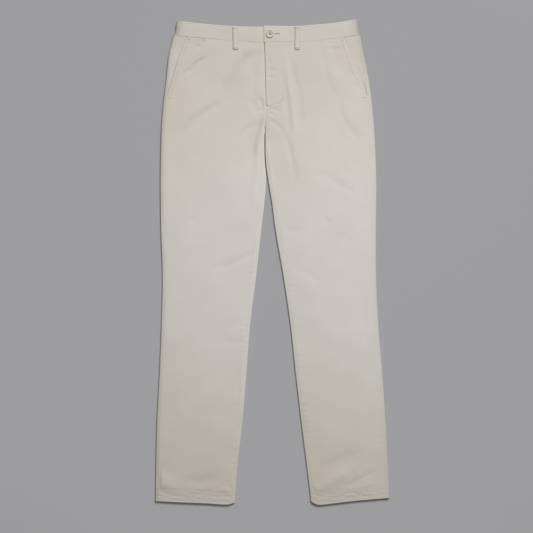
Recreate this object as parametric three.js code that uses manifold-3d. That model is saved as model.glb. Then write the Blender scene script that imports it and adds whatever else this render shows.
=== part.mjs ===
// Chino trousers laid flat, face up, in millimetres. +Z is up and +Y points to the waist.
// The wearer's right leg is at -X. The back lies on the surface at z = 0, and the front lies on it.
import Module from "manifold-3d";
import * as THREE from "three";
import { mergeVertices } from "three/addons/utils/BufferGeometryUtils.js";

const wasm = await Module();
wasm.setup();

// Walls of cloth, and the gap that neighbours keep at a seam
const CLOTH = 1.2;
const FACING_CLOTH = 1.0;
const HEM_CLOTH = 1.0;
const BAND_CLOTH = 1.4;
const SEAM_GAP = 0.3;

// Heights of the flattened garment
const EDGE_HEIGHT = 5.4;
const PUFF = 0.8;
const BACK_LIFT = 1.4;
const BAND_TOP = 5.9;
const UNDERLAP_TOP = 5.4;
const OVERLAP_TOP = 7.1;

// Rows of the panels that later features refer to, as y
const HEM_Y = -524;
const HEM_DEPTH = 26;
const FOLDS_FROM_Y = -440;
const HEM_BEND_Y = -400;
const CROTCH_Y = 298;
const FLY_END_Y = 340;
const POCKET_END_Y = 362;
const SIDE_SEAM_TURNS_Y = 440;
const WAIST_Y = 484;
const BAND_EDGE_Y = 530;
const BACK_LIFT_ROWS = { from: 425, to: 455 };

// Fly, underlap and buttonhole
const FLY_UNDERLAP = 10;
const FLY_SHELF_TOP = 4.5;
const FLY_TOP = { foot: 6.0, waist: 6.9 };
const FLY_RISE_Y = 420;
const FLY_FLAT_WIDTH = 32;
const FLY_BLEND_WIDTH = 54;
const FLY_MIDDLE = 14;
const SHELF_BLEND = { from: 1.2, to: 9 };
const UNDERLAP_TAPER = 13;
const BAND_UNDERLAP_END = 12;
const BAND_OVERLAP_END = -18.7;
const BAND_DIP = { from: -32, to: -21 };
const BAND_DROP = { from: 20, to: 42 };
const BUTTON = { x: -5.3, y: 501.2, radius: 8.5, thickness: 3, holeRadius: 0.85, holeReach: 1.8 };
const BUTTONHOLE = { from: -7.5, to: 16.7, width: 1.6 };

// Belt loops
const LOOP_WIDTH = 12;
const LOOP_CLOTH = 1.1;
const LOOP_END_CLOTH = 1.6;
const LOOP_ARCH = 0.6;
const LOOP_BOTTOM_Y = 466.4;
const LOOP_BELOW_EDGE = 0.6;
const LOOP_X = { frontRight: -81, frontLeft: 55, backRight: -111, backCentre: -17, backLeft: 79 };

// Counts of steps: round a folded side, along the floor between the sides, across a front,
// across a pocket facing, and between the sides of a hem turn-up
const CURL_STEPS = 7;
const FLOOR_STEPS = 4;
const FRONT_STEPS = 6;
const FACING_STEPS = 4;
const TURNUP_STEPS = 4;

// How far a folded side's wall lies on the floor, and the share of its steps that flat stretches get
const SIDE_RUN = 4;
const FLAT_SHARE = 0.4;

// How far in the side seam is at the waist, and where the front has points near its outer edge
const SEAM_REACH_AT_WAIST = 1.8;
const OUTER_STEPS = [0, 9, 18];
const OVER_FACING_BLEND = { from: 18, to: 40 };

// The two halves of the garment. sign is the way from the centre to the side seam,
// outRoll and inRoll are how far the seams have rolled from the folded sides onto the front.
const RIGHT = { name: "right", sign: -1, outRoll: 6.6, inRoll: 8.0, outer: "outerRight", inner: "innerRight" };
const LEFT = { name: "left", sign: 1, outRoll: 8.2, inRoll: 8.0, outer: "outerLeft", inner: "innerLeft" };

// The folded sides of both legs, from hem to waist
const sides = [
  { y: -524, outerRight: -257.0, outerLeft: 257.4 },
  { y: -453, outerRight: -256.3, outerLeft: 253.9 },
  { y: -348, outerRight: -253.7, outerLeft: 248.8 },
  { y: -242, outerRight: -248.2, outerLeft: 241.1 },
  { y: -136, outerRight: -244.0, outerLeft: 232.8 },
  { y: -31, outerRight: -241.8, outerLeft: 227.9 },
  { y: 75, outerRight: -245.3, outerLeft: 227.5 },
  { y: 180, outerRight: -246.4, outerLeft: 228.4 },
  { y: 286, outerRight: -244.4, outerLeft: 224.2 },
  { y: 339, outerRight: -240.7, outerLeft: 219.6 },
  { y: 392, outerRight: -234.1, outerLeft: 212.3 },
  { y: 444, outerRight: -227.9, outerLeft: 201.1 },
  { y: 478, outerRight: -218.5, outerLeft: 193.8 },
  { y: 499, outerRight: -212.4, outerLeft: 190.0 },
  { y: 519, outerRight: -211.2, outerLeft: 188.4 },
  { y: 534, outerRight: -208.0, outerLeft: 187.2 },
];

// The folded inner sides of both legs, from hem to crotch
const inners = [
  { y: -524, innerRight: -82.7, innerLeft: 84.5 },
  { y: -453, innerRight: -77.4, innerLeft: 75.9 },
  { y: -348, innerRight: -65.6, innerLeft: 62.9 },
  { y: -242, innerRight: -57.0, innerLeft: 50.6 },
  { y: -136, innerRight: -48.8, innerLeft: 39.2 },
  { y: -31, innerRight: -35.6, innerLeft: 23.8 },
  { y: 75, innerRight: -24.0, innerLeft: 5.7 },
  { y: 128, innerRight: -17.8, innerLeft: -0.9 },
  { y: 180, innerRight: -13.9, innerLeft: -9.5 },
  { y: 224, innerRight: -16.9, innerLeft: -14.9 },
  { y: 260, innerRight: -17.8, innerLeft: -16.5 },
  { y: 298, innerRight: -17.4, innerLeft: -15.8 },
];

// The centre line of the front and of the back
const centres = [
  { y: 298, x: -16.0 },
  { y: 334, x: -12.8 },
  { y: 350, x: -13.4 },
  { y: 484, x: -16.9 },
  { y: 530, x: -18.9 },
];

// How the back's inner side curls up below the crotch, and how far the inseam has rolled
const crotchTurn = [
  { y: 220, turn: 180, roll: 8.0 },
  { y: 288, turn: 180, roll: 3.2 },
  { y: 290.5, turn: 135, roll: 3.2 },
  { y: 293, turn: 90, roll: 3.2 },
  { y: 295.5, turn: 50, roll: 0 },
  { y: 298, turn: 0, roll: 0 },
];

// The pocket mouths, as distances in from the folded sides
const pocketMouth = [
  { y: 362, right: 6.6, left: 8.2 },
  { y: 425, right: 19.5, left: 28.5 },
  { y: 484, right: 30.6, left: 35.6 },
];
const FACING_REACH = 15;
const facingTop = [
  { y: 362, z: 3.4 },
  { y: 405, z: 4.7 },
  { y: 455, z: 4.7 },
  { y: 484, z: 4.2 },
];

// The waist seam and the band's top edge, across the garment
const waists = {
  right: [
    { x: -214, seam: 497.3, top: 530.6 },
    { x: -150, seam: 491.3, top: 523.3 },
    { x: -102, seam: 487.0, top: 519.2 },
    { x: -71, seam: 485.3, top: 517.6 },
    { x: -20, seam: 481.1, top: 516.6 },
    { x: 12, seam: 481.1, top: 516.6 },
  ],
  left: [
    { x: -18.7, seam: 482.6, top: 519.0 },
    { x: 47, seam: 484.0, top: 518.3 },
    { x: 82, seam: 484.6, top: 520.4 },
    { x: 133, seam: 490.7, top: 524.9 },
    { x: 187, seam: 497.4, top: 533.5 },
  ],
};

// The hem edges, across each leg
const hems = {
  right: [
    { x: -257, y: -524.0 },
    { x: -200, y: -527.0 },
    { x: -144, y: -529.3 },
    { x: -98, y: -531.7 },
    { x: -83, y: -527.5 },
  ],
  left: [
    { x: 83, y: -521.5 },
    { x: 90, y: -528.0 },
    { x: 102, y: -532.3 },
    { x: 133, y: -529.3 },
    { x: 180, y: -523.8 },
    { x: 257, y: -517.0 },
  ],
};

// The largest folds: a soft trough or ridge of half width `wide` along a bent line
const folds = [
  { part: "right hip", rise: -0.9, wide: 13, line: [[-45, 448], [-86, 407], [-148, 345], [-206, 285]] },
  { part: "right pocket", rise: -0.6, wide: 9, line: [[-148, 448], [-178, 428], [-200, 416]] },
  { part: "beside the fly", rise: -0.6, wide: 9, line: [[-24, 396], [-35, 370], [-32, 334]] },
  { part: "right thigh, from the crotch", rise: -0.8, wide: 10, line: [[-32, 297], [-43, 224], [-38, 132]] },
  { part: "left of the fly", rise: 0.7, wide: 10, line: [[24, 444], [35, 407], [50, 350], [62, 298]] },
  { part: "left thigh, from the crotch", rise: -0.8, wide: 11, line: [[20, 302], [42, 242], [56, 174]] },
  { part: "left hip", rise: -0.7, wide: 12, line: [[144, 367], [171, 297], [210, 273]] },
  { part: "right knee", rise: -0.7, wide: 14, line: [[-49, 20], [-79, 4], [-123, -11]] },
  { part: "right calf", rise: -0.6, wide: 14, line: [[-82, -123], [-101, -155], [-130, -190]] },
  { part: "right ankle", rise: -0.7, wide: 14, line: [[-134, -445], [-170, -460], [-200, -472]] },
  { part: "left shin", rise: -0.7, wide: 14, line: [[185, -407], [130, -431], [112, -464]] },
];

// Rows of every panel, from the hem to the waist seam
const rowSpans = [
  { to: HEM_Y + HEM_DEPTH, steps: 2 },
  { to: -430, steps: 2 },
  { to: 220, steps: 13 },
  { to: 288, steps: 3 },
  { to: CROTCH_Y, steps: 4 },
  { to: FLY_END_Y, steps: 3 },
  { to: POCKET_END_Y, steps: 2 },
  { to: WAIST_Y, steps: 6 },
];

const { lerp, degToRad } = THREE.MathUtils;

function ease(value, from, to) {
  const t = Math.min(Math.max((value - from) / (to - from), 0), 1);
  return t * t * (3 - 2 * t);
}

// A smooth curve through one column of a table whose rows rise in `key`
function smooth(table, key, column, value) {
  const last = table.length - 1;
  if (value <= table[0][key]) return table[0][column];
  if (value >= table[last][key]) return table[last][column];
  const i = table.findIndex((row) => row[key] > value) - 1;
  const slope = (k) => {
    const before = table[Math.max(k - 1, 0)];
    const after = table[Math.min(k + 1, last)];
    return (after[column] - before[column]) / (after[key] - before[key]);
  };
  const span = table[i + 1][key] - table[i][key];
  const t = (value - table[i][key]) / span;
  const blend = t * t * (3 - 2 * t);
  const lean = span * t * (1 - t) * (slope(i) * (1 - t) - slope(i + 1) * t);
  return lerp(table[i][column], table[i + 1][column], blend) + lean;
}

// Straight lines through one column of a table
function straight(table, key, column, value) {
  const last = table.length - 1;
  if (value <= table[0][key]) return table[0][column];
  if (value >= table[last][key]) return table[last][column];
  const i = table.findIndex((row) => row[key] > value) - 1;
  const t = (value - table[i][key]) / (table[i + 1][key] - table[i][key]);
  return lerp(table[i][column], table[i + 1][column], t);
}

function panelRows() {
  const rows = [HEM_Y];
  for (const { to, steps } of rowSpans) {
    const from = rows[rows.length - 1];
    for (let i = 1; i <= steps; i++) rows.push(lerp(from, to, i / steps));
  }
  return rows;
}

// A point's real y: rows bend to follow the waist seam above the crotch and the hem near the floor end
function bend(side, x, row) {
  const seam = smooth(waists[side.name], "x", "seam", x) - SEAM_GAP / 2;
  const hem = smooth(hems[side.name], "x", "y", x);
  const nearWaist = Math.max(row - CROTCH_Y, 0) / (WAIST_Y - CROTCH_Y);
  const nearHem = Math.max(HEM_BEND_Y - row, 0) / (HEM_BEND_Y - HEM_Y);
  return row + (seam - WAIST_Y) * nearWaist ** 2 + (hem - HEM_Y) * nearHem ** 2;
}

const sideX = (side, row) => smooth(sides, "y", side.outer, row);
const centreX = (row) => smooth(centres, "y", "x", row);

// The inner folded side of a leg, or the centre seam's edge above the crotch
function innerX(side, row) {
  if (row >= CROTCH_Y) return centreX(row) + side.sign * SEAM_GAP / 2;
  return smooth(inners, "y", side.inner, row);
}

// How far the side seam lies in from the folded side. It turns outward as it nears the waist.
function outseamReach(side, row) {
  const turned = ease(row, POCKET_END_Y, SIDE_SEAM_TURNS_Y);
  return lerp(side.outRoll, SEAM_REACH_AT_WAIST, turned);
}

// The back rises a little below the waist to lie over the belt loops
const backLift = (row) => BACK_LIFT * ease(row, BACK_LIFT_ROWS.from, BACK_LIFT_ROWS.to);

// A wall that leaves the floor, curls up round a folded side and may run on over the top.
// The points are distances in from the side and heights, from the floor to the wall's end.
function curl({ lift, inset, turn, reach }) {
  const radius = (EDGE_HEIGHT - lift) / 2;
  const bow = radius - inset;
  const whole = turn >= 180;
  const run = whole ? Math.max(reach - radius, 0) : 0;
  const short = whole && reach < radius ? Math.asin((radius - reach) / bow) : 0;
  const angle = degToRad(Math.min(turn, 180)) - short;
  const centre = radius * Math.sin(degToRad(Math.min(turn, 90)));
  const onFloor = SIDE_RUN * FLAT_SHARE;
  const arc = radius * angle;
  const length = onFloor + arc + run * FLAT_SHARE;
  const points = [];
  for (let i = 0; i <= CURL_STEPS; i++) {
    const along = (length * i) / CURL_STEPS - onFloor;
    const a = Math.min(Math.max(along / radius, 0), angle);
    const flat = (Math.max(along - arc, 0) - Math.min(along, 0)) / FLAT_SHARE;
    const inward = centre - bow * Math.sin(a) + flat;
    points.push({ inward, z: lift + radius - bow * Math.cos(a) });
  }
  return points;
}

function backSection(side, row, inset) {
  const lift = backLift(row);
  const outseam = outseamReach(side, row) - SEAM_GAP / 2;
  const turn = straight(crotchTurn, "y", "turn", row);
  const inseam = straight(crotchTurn, "y", "roll", row) - SEAM_GAP / 2;
  const outer = curl({ lift, inset, turn: 180, reach: outseam }).reverse();
  const inner = curl({ lift, inset, turn, reach: inseam });
  const section = outer.map(({ inward, z }) => [sideX(side, row) - side.sign * inward, z]);
  const inward = inner.map((point) => [innerX(side, row) + side.sign * point.inward, point.z]);
  const from = section[section.length - 1];
  for (let i = 1; i < FLOOR_STEPS; i++) {
    section.push([lerp(from[0], inward[0][0], i / FLOOR_STEPS), from[1]]);
  }
  return [...section, ...inward];
}

// Height of the folds at a point
function foldRise(x, y) {
  let rise = 0;
  for (const fold of folds) {
    let nearest = Infinity;
    let along = 0;
    const pieces = fold.line.length - 1;
    for (let i = 0; i < pieces; i++) {
      const [ax, ay] = fold.line[i];
      const [bx, by] = fold.line[i + 1];
      const [dx, dy] = [bx - ax, by - ay];
      const t = Math.min(Math.max(((x - ax) * dx + (y - ay) * dy) / (dx * dx + dy * dy), 0), 1);
      const away = Math.hypot(x - ax - t * dx, y - ay - t * dy);
      if (away < nearest) {
        nearest = away;
        along = (i + t) / pieces;
      }
    }
    const fade = 0.35 + 0.65 * Math.sin(Math.PI * along);
    rise += fold.rise * fade * Math.exp(-((nearest / fold.wide) ** 2));
  }
  return rise;
}

// The front's edges at a row: the pocket mouth or side seam, and the centre or inseam
function frontEdges(side, row) {
  const inPocket = row > POCKET_END_Y;
  const mouth = smooth(pocketMouth, "y", side.name, row);
  const outseam = (inPocket ? mouth : outseamReach(side, row)) + SEAM_GAP / 2;
  const inseam = straight(crotchTurn, "y", "roll", row);
  const gap = row < CROTCH_Y ? SEAM_GAP / 2 : 0;
  return {
    outer: sideX(side, row) - side.sign * outseam,
    inner: innerX(side, row) + side.sign * (inseam + gap),
  };
}

// Top of the front at a point: a soft puff and folds, raised over the pocket facing and along the fly
function frontTop(side, x, row) {
  const { outer, inner } = frontEdges(side, row);
  const fromOuter = side.sign * (outer - x);
  const fromInner = side.sign * (x - inner);
  const across = Math.min(Math.max(fromOuter / (fromOuter + fromInner), 0), 1);
  const crown = 1 - (2 * across - 1) ** 4;
  const fromWaist = ease(WAIST_Y - row, 0, WAIST_Y - SIDE_SEAM_TURNS_Y);
  const calm = ease(row, HEM_Y + HEM_DEPTH, FOLDS_FROM_Y) * fromWaist;
  let z = EDGE_HEIGHT + crown * calm * (PUFF + foldRise(x, row));

  const overFacing = straight(facingTop, "y", "z", row) + SEAM_GAP + CLOTH;
  z = Math.max(z, lerp(overFacing, z, ease(fromOuter, OVER_FACING_BLEND.from, OVER_FACING_BLEND.to)));

  const inFly = ease(row, CROTCH_Y + 10, FLY_END_Y);
  const overlap = lerp(FLY_TOP.foot, FLY_TOP.waist, ease(row, FLY_RISE_Y, WAIST_Y));
  const flyTop = side === LEFT ? overlap : FLY_SHELF_TOP;
  const blend = side === LEFT ? { from: FLY_FLAT_WIDTH, to: FLY_BLEND_WIDTH } : SHELF_BLEND;
  return lerp(z, lerp(flyTop, z, ease(fromInner, blend.from, blend.to)), inFly);
}

// Columns of a front at a row. The right front runs on under the left one along the fly.
function frontColumns(side, row) {
  const { outer, inner } = frontEdges(side, row);
  const underlap = FLY_UNDERLAP * Math.min(Math.max((row - FLY_END_Y) / UNDERLAP_TAPER, 0), 1);
  const nearOuter = OUTER_STEPS.map((step) => outer - side.sign * step);
  const shelf = [SHELF_BLEND.to, SHELF_BLEND.from, -underlap];
  const steps = side === LEFT ? [FLY_FLAT_WIDTH, FLY_MIDDLE, 0] : shelf;
  const nearInner = steps.map((step) => inner + side.sign * step);
  const columns = [...nearOuter];
  for (let i = 1; i < FRONT_STEPS; i++) columns.push(lerp(nearOuter[2], nearInner[0], i / FRONT_STEPS));
  return [...columns, ...nearInner];
}

// A closed wall between an outer and an inner grid of points. A ring closes on itself along its rows.
function wall(outer, inner, ring = false) {
  const rows = outer.length;
  const columns = outer[0].length;
  const spans = ring ? columns : columns - 1;
  const at = (layer, i, j) => (layer * rows + i) * columns + (j % columns);
  const indices = [];
  const quad = (a, b, c, d) => indices.push(a, b, c, a, c, d);
  for (let i = 0; i < rows - 1; i++) {
    for (let j = 0; j < spans; j++) {
      quad(at(0, i, j), at(0, i, j + 1), at(0, i + 1, j + 1), at(0, i + 1, j));
      quad(at(1, i, j), at(1, i + 1, j), at(1, i + 1, j + 1), at(1, i, j + 1));
    }
    if (ring) continue;
    quad(at(0, i, 0), at(0, i + 1, 0), at(1, i + 1, 0), at(1, i, 0));
    quad(at(0, i, spans), at(1, i, spans), at(1, i + 1, spans), at(0, i + 1, spans));
  }
  const top = rows - 1;
  for (let j = 0; j < spans; j++) {
    quad(at(0, 0, j), at(1, 0, j), at(1, 0, j + 1), at(0, 0, j + 1));
    quad(at(0, top, j), at(0, top, j + 1), at(1, top, j + 1), at(1, top, j));
  }
  const positions = [...outer, ...inner].flat(2);
  if (signedVolume(positions, indices) < 0) indices.reverse();
  return meshData(positions, indices);
}

function signedVolume(positions, indices) {
  const corner = (k) => new THREE.Vector3().fromArray(positions, indices[k] * 3);
  let volume = 0;
  for (let k = 0; k < indices.length; k += 3) {
    volume += corner(k).dot(corner(k + 1).cross(corner(k + 2))) / 6;
  }
  return volume;
}

function meshData(positions, indices) {
  const geometry = new THREE.BufferGeometry();
  geometry.setAttribute("position", new THREE.Float32BufferAttribute(positions, 3));
  geometry.setIndex(indices);
  geometry.computeVertexNormals();
  return geometry;
}

// One geometry less others, through closed solids
function cut(geometry, tools) {
  const solid = (shape) => {
    const bare = shape.clone();
    bare.deleteAttribute("normal");
    bare.deleteAttribute("uv");
    const merged = mergeVertices(bare, 1e-4);
    return new wasm.Manifold(new wasm.Mesh({
      numProp: 3,
      vertProperties: new Float32Array(merged.attributes.position.array),
      triVerts: new Uint32Array(merged.index.array),
    }));
  };
  let result = solid(geometry);
  for (const tool of tools) result = result.subtract(solid(tool));
  const mesh = result.getMesh();
  return meshData([...mesh.vertProperties], [...mesh.triVerts]);
}

function frontPanel(side) {
  const top = panelRows().map((row) =>
    frontColumns(side, row).map((x) => [x, bend(side, x, row), frontTop(side, x, row)]));
  const under = top.map((points) => points.map(([x, y, z]) => [x, y, z - CLOTH]));
  return wall(top, under);
}

function backPanel(side) {
  const layer = (inset) => panelRows().map((row) =>
    backSection(side, row, inset).map(([x, z]) => [x, bend(side, x, row), z]));
  return wall(layer(0), layer(CLOTH));
}

// The piece of cloth that shows behind a slanted pocket mouth
function pocketFacing(side) {
  const rows = panelRows().filter((row) => row >= POCKET_END_Y);
  const top = rows.map((row) => {
    const from = outseamReach(side, row) + SEAM_GAP / 2;
    const to = smooth(pocketMouth, "y", side.name, row) + FACING_REACH;
    const z = straight(facingTop, "y", "z", row);
    return Array.from({ length: FACING_STEPS + 1 }, (_, i) => {
      const x = sideX(side, row) - side.sign * lerp(from, to, i / FACING_STEPS);
      return [x, bend(side, x, row), z];
    });
  });
  const under = top.map((points) => points.map(([x, y, z]) => [x, y, z - FACING_CLOTH]));
  return wall(top, under);
}

// The cloth turned up inside a leg's end, a flattened ring
function hemTurnup(side) {
  const rows = panelRows().filter((row) => row <= HEM_Y + HEM_DEPTH);
  const layer = (inset) => rows.map((row) => {
    const reach = EDGE_HEIGHT / 2 + SIDE_RUN;
    const points = curl({ lift: 0, inset, turn: 180, reach });
    const outer = points.map(({ inward, z }) => [sideX(side, row) - side.sign * inward, z]);
    const inner = points.map(({ inward, z }) => [innerX(side, row) + side.sign * inward, z]).reverse();
    const between = (from, to) => Array.from({ length: TURNUP_STEPS - 1 }, (_, i) =>
      [lerp(from[0], to[0], (i + 1) / TURNUP_STEPS), from[1]]);
    const ring = [
      ...outer,
      ...between(outer[outer.length - 1], inner[0]),
      ...inner,
      ...between(inner[inner.length - 1], outer[0]),
    ];
    return ring.map(([x, z]) => [x, bend(side, x, row), z]);
  });
  const out = CLOTH + SEAM_GAP;
  return wall(layer(out), layer(out + HEM_CLOTH), true);
}

// The band's top surface over the front. The left half ends on top of the right half's underlap.
function bandTop(side, x) {
  if (side === RIGHT) return lerp(BAND_TOP, UNDERLAP_TOP, ease(x, BAND_DIP.from, BAND_DIP.to));
  return lerp(OVERLAP_TOP, BAND_TOP, ease(x, BAND_DROP.from, BAND_DROP.to));
}

// Where the band has points across the front and across the back: those of the panels at the waist
// seam, so that both sides of the seam bend alike, and those where the band changes height.
function bandColumns(side) {
  const end = side === RIGHT ? BAND_UNDERLAP_END : BAND_OVERLAP_END;
  const breaks = side === RIGHT ? [-4.5, BAND_DIP.to, BAND_DIP.from] : [0, BAND_DROP.from, 35, BAND_DROP.to];
  const beyondEnd = (x) => side.sign * (x - end) > 1;
  const front = [...frontColumns(side, WAIST_Y), ...breaks].filter(beyondEnd);
  front.sort((a, b) => side.sign * (a - b));
  const floor = backSection(side, WAIST_Y, 0).slice(CURL_STEPS, CURL_STEPS + FLOOR_STEPS + 1);
  return { front: [end, ...front], back: floor.map(([x]) => x) };
}

const bandTurnX = (side, row) => sideX(side, row) - side.sign * (BAND_TOP - BACK_LIFT) / 2;

// Half a waistband, from its front end round the side to the centre back
function waistband(side) {
  const { front, back } = bandColumns(side);
  const radius = (BAND_TOP - BACK_LIFT) / 2;
  const span = bandTurnX(side, WAIST_Y) - centreX(WAIST_Y);
  const layer = (inset) => [0, 0.5, 1].map((share) => {
    const row = lerp(WAIST_Y, BAND_EDGE_Y, share);
    const turnX = bandTurnX(side, row);
    const pocketX = front[front.length - 1];
    const section = front.map((x) => [x, bandTop(side, x) - inset]);
    for (let i = 1; i <= 3; i++) section.push([lerp(pocketX, turnX, i / 3), BAND_TOP - inset]);
    for (let i = 1; i <= CURL_STEPS; i++) {
      const a = (Math.PI * i) / CURL_STEPS;
      const bow = radius - inset;
      section.push([turnX + side.sign * bow * Math.sin(a), BACK_LIFT + radius + bow * Math.cos(a)]);
    }
    const centre = centreX(row) + side.sign * SEAM_GAP / 2;
    for (const x of back) {
      const inward = (bandTurnX(side, WAIST_Y) - x) / span;
      section.push([lerp(turnX, centreX(row), inward), BACK_LIFT + inset]);
    }
    section.push([centre, BACK_LIFT + inset]);
    return section.map(([x, z]) => {
      const seam = smooth(waists[side.name], "x", "seam", x) + SEAM_GAP / 2;
      const top = smooth(waists[side.name], "x", "top", x);
      return [x, lerp(seam, top, share), z];
    });
  });
  return wall(layer(0), layer(BAND_CLOTH));
}

// The slit that the button passes through, with round ends
function buttonholeCutter() {
  const half = BUTTONHOLE.width / 2;
  const shape = new THREE.Shape();
  shape.absarc(BUTTONHOLE.from + half, BUTTON.y, half, Math.PI / 2, (3 * Math.PI) / 2);
  shape.absarc(BUTTONHOLE.to - half, BUTTON.y, half, -Math.PI / 2, Math.PI / 2);
  const geometry = new THREE.ExtrudeGeometry(shape, { depth: 10, bevelEnabled: false, curveSegments: 6 });
  return geometry.translate(0, 0, 2);
}

// A strip with doubled ends that stands off the band between them
function beltLoop({ x, top, thickEnd, arch, floorAt }) {
  const profile = [
    { at: 0, rise: 0, thick: thickEnd },
    { at: 0.14, rise: 0, thick: thickEnd },
    { at: 0.2, rise: 0.7 * arch, thick: LOOP_CLOTH },
    { at: 0.35, rise: arch, thick: LOOP_CLOTH },
    { at: 0.65, rise: arch, thick: LOOP_CLOTH },
    { at: 0.8, rise: 0.7 * arch, thick: LOOP_CLOTH },
    { at: 0.86, rise: 0, thick: thickEnd },
    { at: 1, rise: 0, thick: thickEnd },
  ];
  const across = [x - LOOP_WIDTH / 2, x + LOOP_WIDTH / 2];
  const layer = (upper) => profile.map(({ at, rise, thick }) => {
    const y = lerp(LOOP_BOTTOM_Y, top - LOOP_BELOW_EDGE, at);
    const z = floorAt(at) + rise + (upper ? thick : 0);
    return across.map((edge) => [edge, y, z]);
  });
  return wall(layer(true), layer(false));
}

function frontLoop(side, x) {
  const edges = [x - LOOP_WIDTH / 2, x + LOOP_WIDTH / 2];
  const onPanel = Math.max(...edges.map((edge) => frontTop(side, edge, LOOP_BOTTOM_Y))) + SEAM_GAP;
  const onBand = BAND_TOP + SEAM_GAP;
  const top = smooth(waists[side.name], "x", "top", x);
  const floorAt = (at) => lerp(onPanel, onBand, ease(at, 0.14, 0.86));
  return beltLoop({ x, top, thickEnd: LOOP_END_CLOTH, arch: LOOP_ARCH, floorAt });
}

function backLoop(side, x) {
  const top = smooth(waists[side.name], "x", "top", x);
  return beltLoop({ x, top, thickEnd: LOOP_CLOTH, arch: 0, floorAt: () => 0 });
}

// A four-hole button with a raised rim
function buttonGeometry() {
  const { radius, thickness, holeRadius, holeReach } = BUTTON;
  const profile = [
    [0, 0], [radius - 1.6, 0], [radius - 0.4, 0.5], [radius, 1.3], [radius - 0.1, 2.2],
    [radius - 0.8, thickness], [radius - 1.8, thickness],
    [radius - 2.8, thickness - 0.8], [0, thickness - 0.8],
  ].map(([r, z]) => new THREE.Vector2(r, z));
  const disc = new THREE.LatheGeometry(profile, 36).rotateX(Math.PI / 2);
  const holes = [[-1, -1], [1, -1], [1, 1], [-1, 1]].map(([sx, sy]) => {
    const hole = new THREE.CylinderGeometry(holeRadius, holeRadius, 4 * thickness, 12);
    return hole.rotateX(Math.PI / 2).translate(sx * holeReach, sy * holeReach, 0);
  });
  return cut(disc, holes);
}

const twill = () => new THREE.MeshStandardMaterial({ color: "#cdc8bb", roughness: 0.92, metalness: 0 });
const horn = () => new THREE.MeshStandardMaterial({ color: "#c9c3b2", roughness: 0.35, metalness: 0 });

const trousers = new THREE.Group();
trousers.name = "chino_trousers";

function add(name, geometry, material) {
  const mesh = new THREE.Mesh(geometry, material);
  mesh.name = name;
  trousers.add(mesh);
  return mesh;
}

for (const side of [RIGHT, LEFT]) {
  add(`front_${side.name}`, frontPanel(side), twill());
  add(`back_${side.name}`, backPanel(side), twill());
  add(`pocket_facing_${side.name}`, pocketFacing(side), twill());
  add(`hem_turnup_${side.name}`, hemTurnup(side), twill());
}

add("waistband_right", waistband(RIGHT), twill());
add("waistband_left", cut(waistband(LEFT), [buttonholeCutter()]), twill());

add("belt_loop_front_right", frontLoop(RIGHT, LOOP_X.frontRight), twill());
add("belt_loop_front_left", frontLoop(LEFT, LOOP_X.frontLeft), twill());
add("belt_loop_back_right", backLoop(RIGHT, LOOP_X.backRight), twill());
add("belt_loop_back_centre", backLoop(RIGHT, LOOP_X.backCentre), twill());
add("belt_loop_back_left", backLoop(LEFT, LOOP_X.backLeft), twill());

const button = add("button", buttonGeometry(), horn());
button.position.set(BUTTON.x, BUTTON.y, OVERLAP_TOP + SEAM_GAP);

export default trousers;
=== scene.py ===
# %% [markdown]
# # Chino trousers, laid flat
# Slim cotton trousers lie face up on a plain surface. Every piece is a thin sheet of twill with
# a real cut. Such a sheet could be modelled by pulling faces about or by simulating cloth, but
# the seams have to stay where the cut puts them, so each sheet is a grid whose points are placed
# by a formula, and it is then given the thickness of cloth. Lengths in this lesson are
# millimetres until a mesh is made.

# %% Start
import math

import bpy
import numpy as np
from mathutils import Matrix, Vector


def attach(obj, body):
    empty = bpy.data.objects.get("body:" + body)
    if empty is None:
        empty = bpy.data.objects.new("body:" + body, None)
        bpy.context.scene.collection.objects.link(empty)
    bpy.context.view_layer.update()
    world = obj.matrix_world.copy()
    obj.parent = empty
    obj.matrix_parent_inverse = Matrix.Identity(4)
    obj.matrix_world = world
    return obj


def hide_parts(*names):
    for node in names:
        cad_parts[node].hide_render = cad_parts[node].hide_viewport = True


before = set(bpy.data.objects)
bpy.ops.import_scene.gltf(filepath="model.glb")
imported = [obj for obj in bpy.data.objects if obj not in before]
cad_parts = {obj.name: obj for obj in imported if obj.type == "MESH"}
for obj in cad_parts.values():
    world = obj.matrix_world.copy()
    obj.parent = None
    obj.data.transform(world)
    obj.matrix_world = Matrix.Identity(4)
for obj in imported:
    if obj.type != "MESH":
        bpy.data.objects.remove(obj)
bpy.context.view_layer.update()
MM = 0.001
print("nodes in the frame:", len(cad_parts))

# %% [markdown]
# ## Camera
# The trousers are seen from straight above. An orthographic camera would give the same outline,
# but a real one is a lens some way up, so this is a long lens high over the middle, which keeps
# the hems and the waist at one scale. The picture covers 1172 mm of the surface.

# %% Camera
PICTURE_WIDTH = 1172.6
PICTURE_CENTRE = (-13.0, -9.9)
CAMERA_HEIGHT = 3.2
SENSOR = 36.0

camera_data = bpy.data.cameras.new("overhead")
camera_data.sensor_width = SENSOR
camera_data.lens = SENSOR * CAMERA_HEIGHT / (PICTURE_WIDTH * MM)
camera = bpy.data.objects.new("overhead", camera_data)
camera.location = (PICTURE_CENTRE[0] * MM, PICTURE_CENTRE[1] * MM, CAMERA_HEIGHT)
bpy.context.scene.collection.objects.link(camera)
bpy.context.scene.camera = camera
bpy.context.scene.view_settings.view_transform = "Standard"
print("lens:", round(camera_data.lens, 1), "mm")

# %% [markdown]
# ## Light
# In a studio this would be one large softbox beyond the waist, and pale walls all round. The
# shadows are short and soft and fall toward the hems, and the lower legs are slightly darker
# because they lie further from the lamp. Several lamps could be used, but their shadows would
# cross, so there is one round area lamp, and an even white sky fills what it leaves dark.

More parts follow.
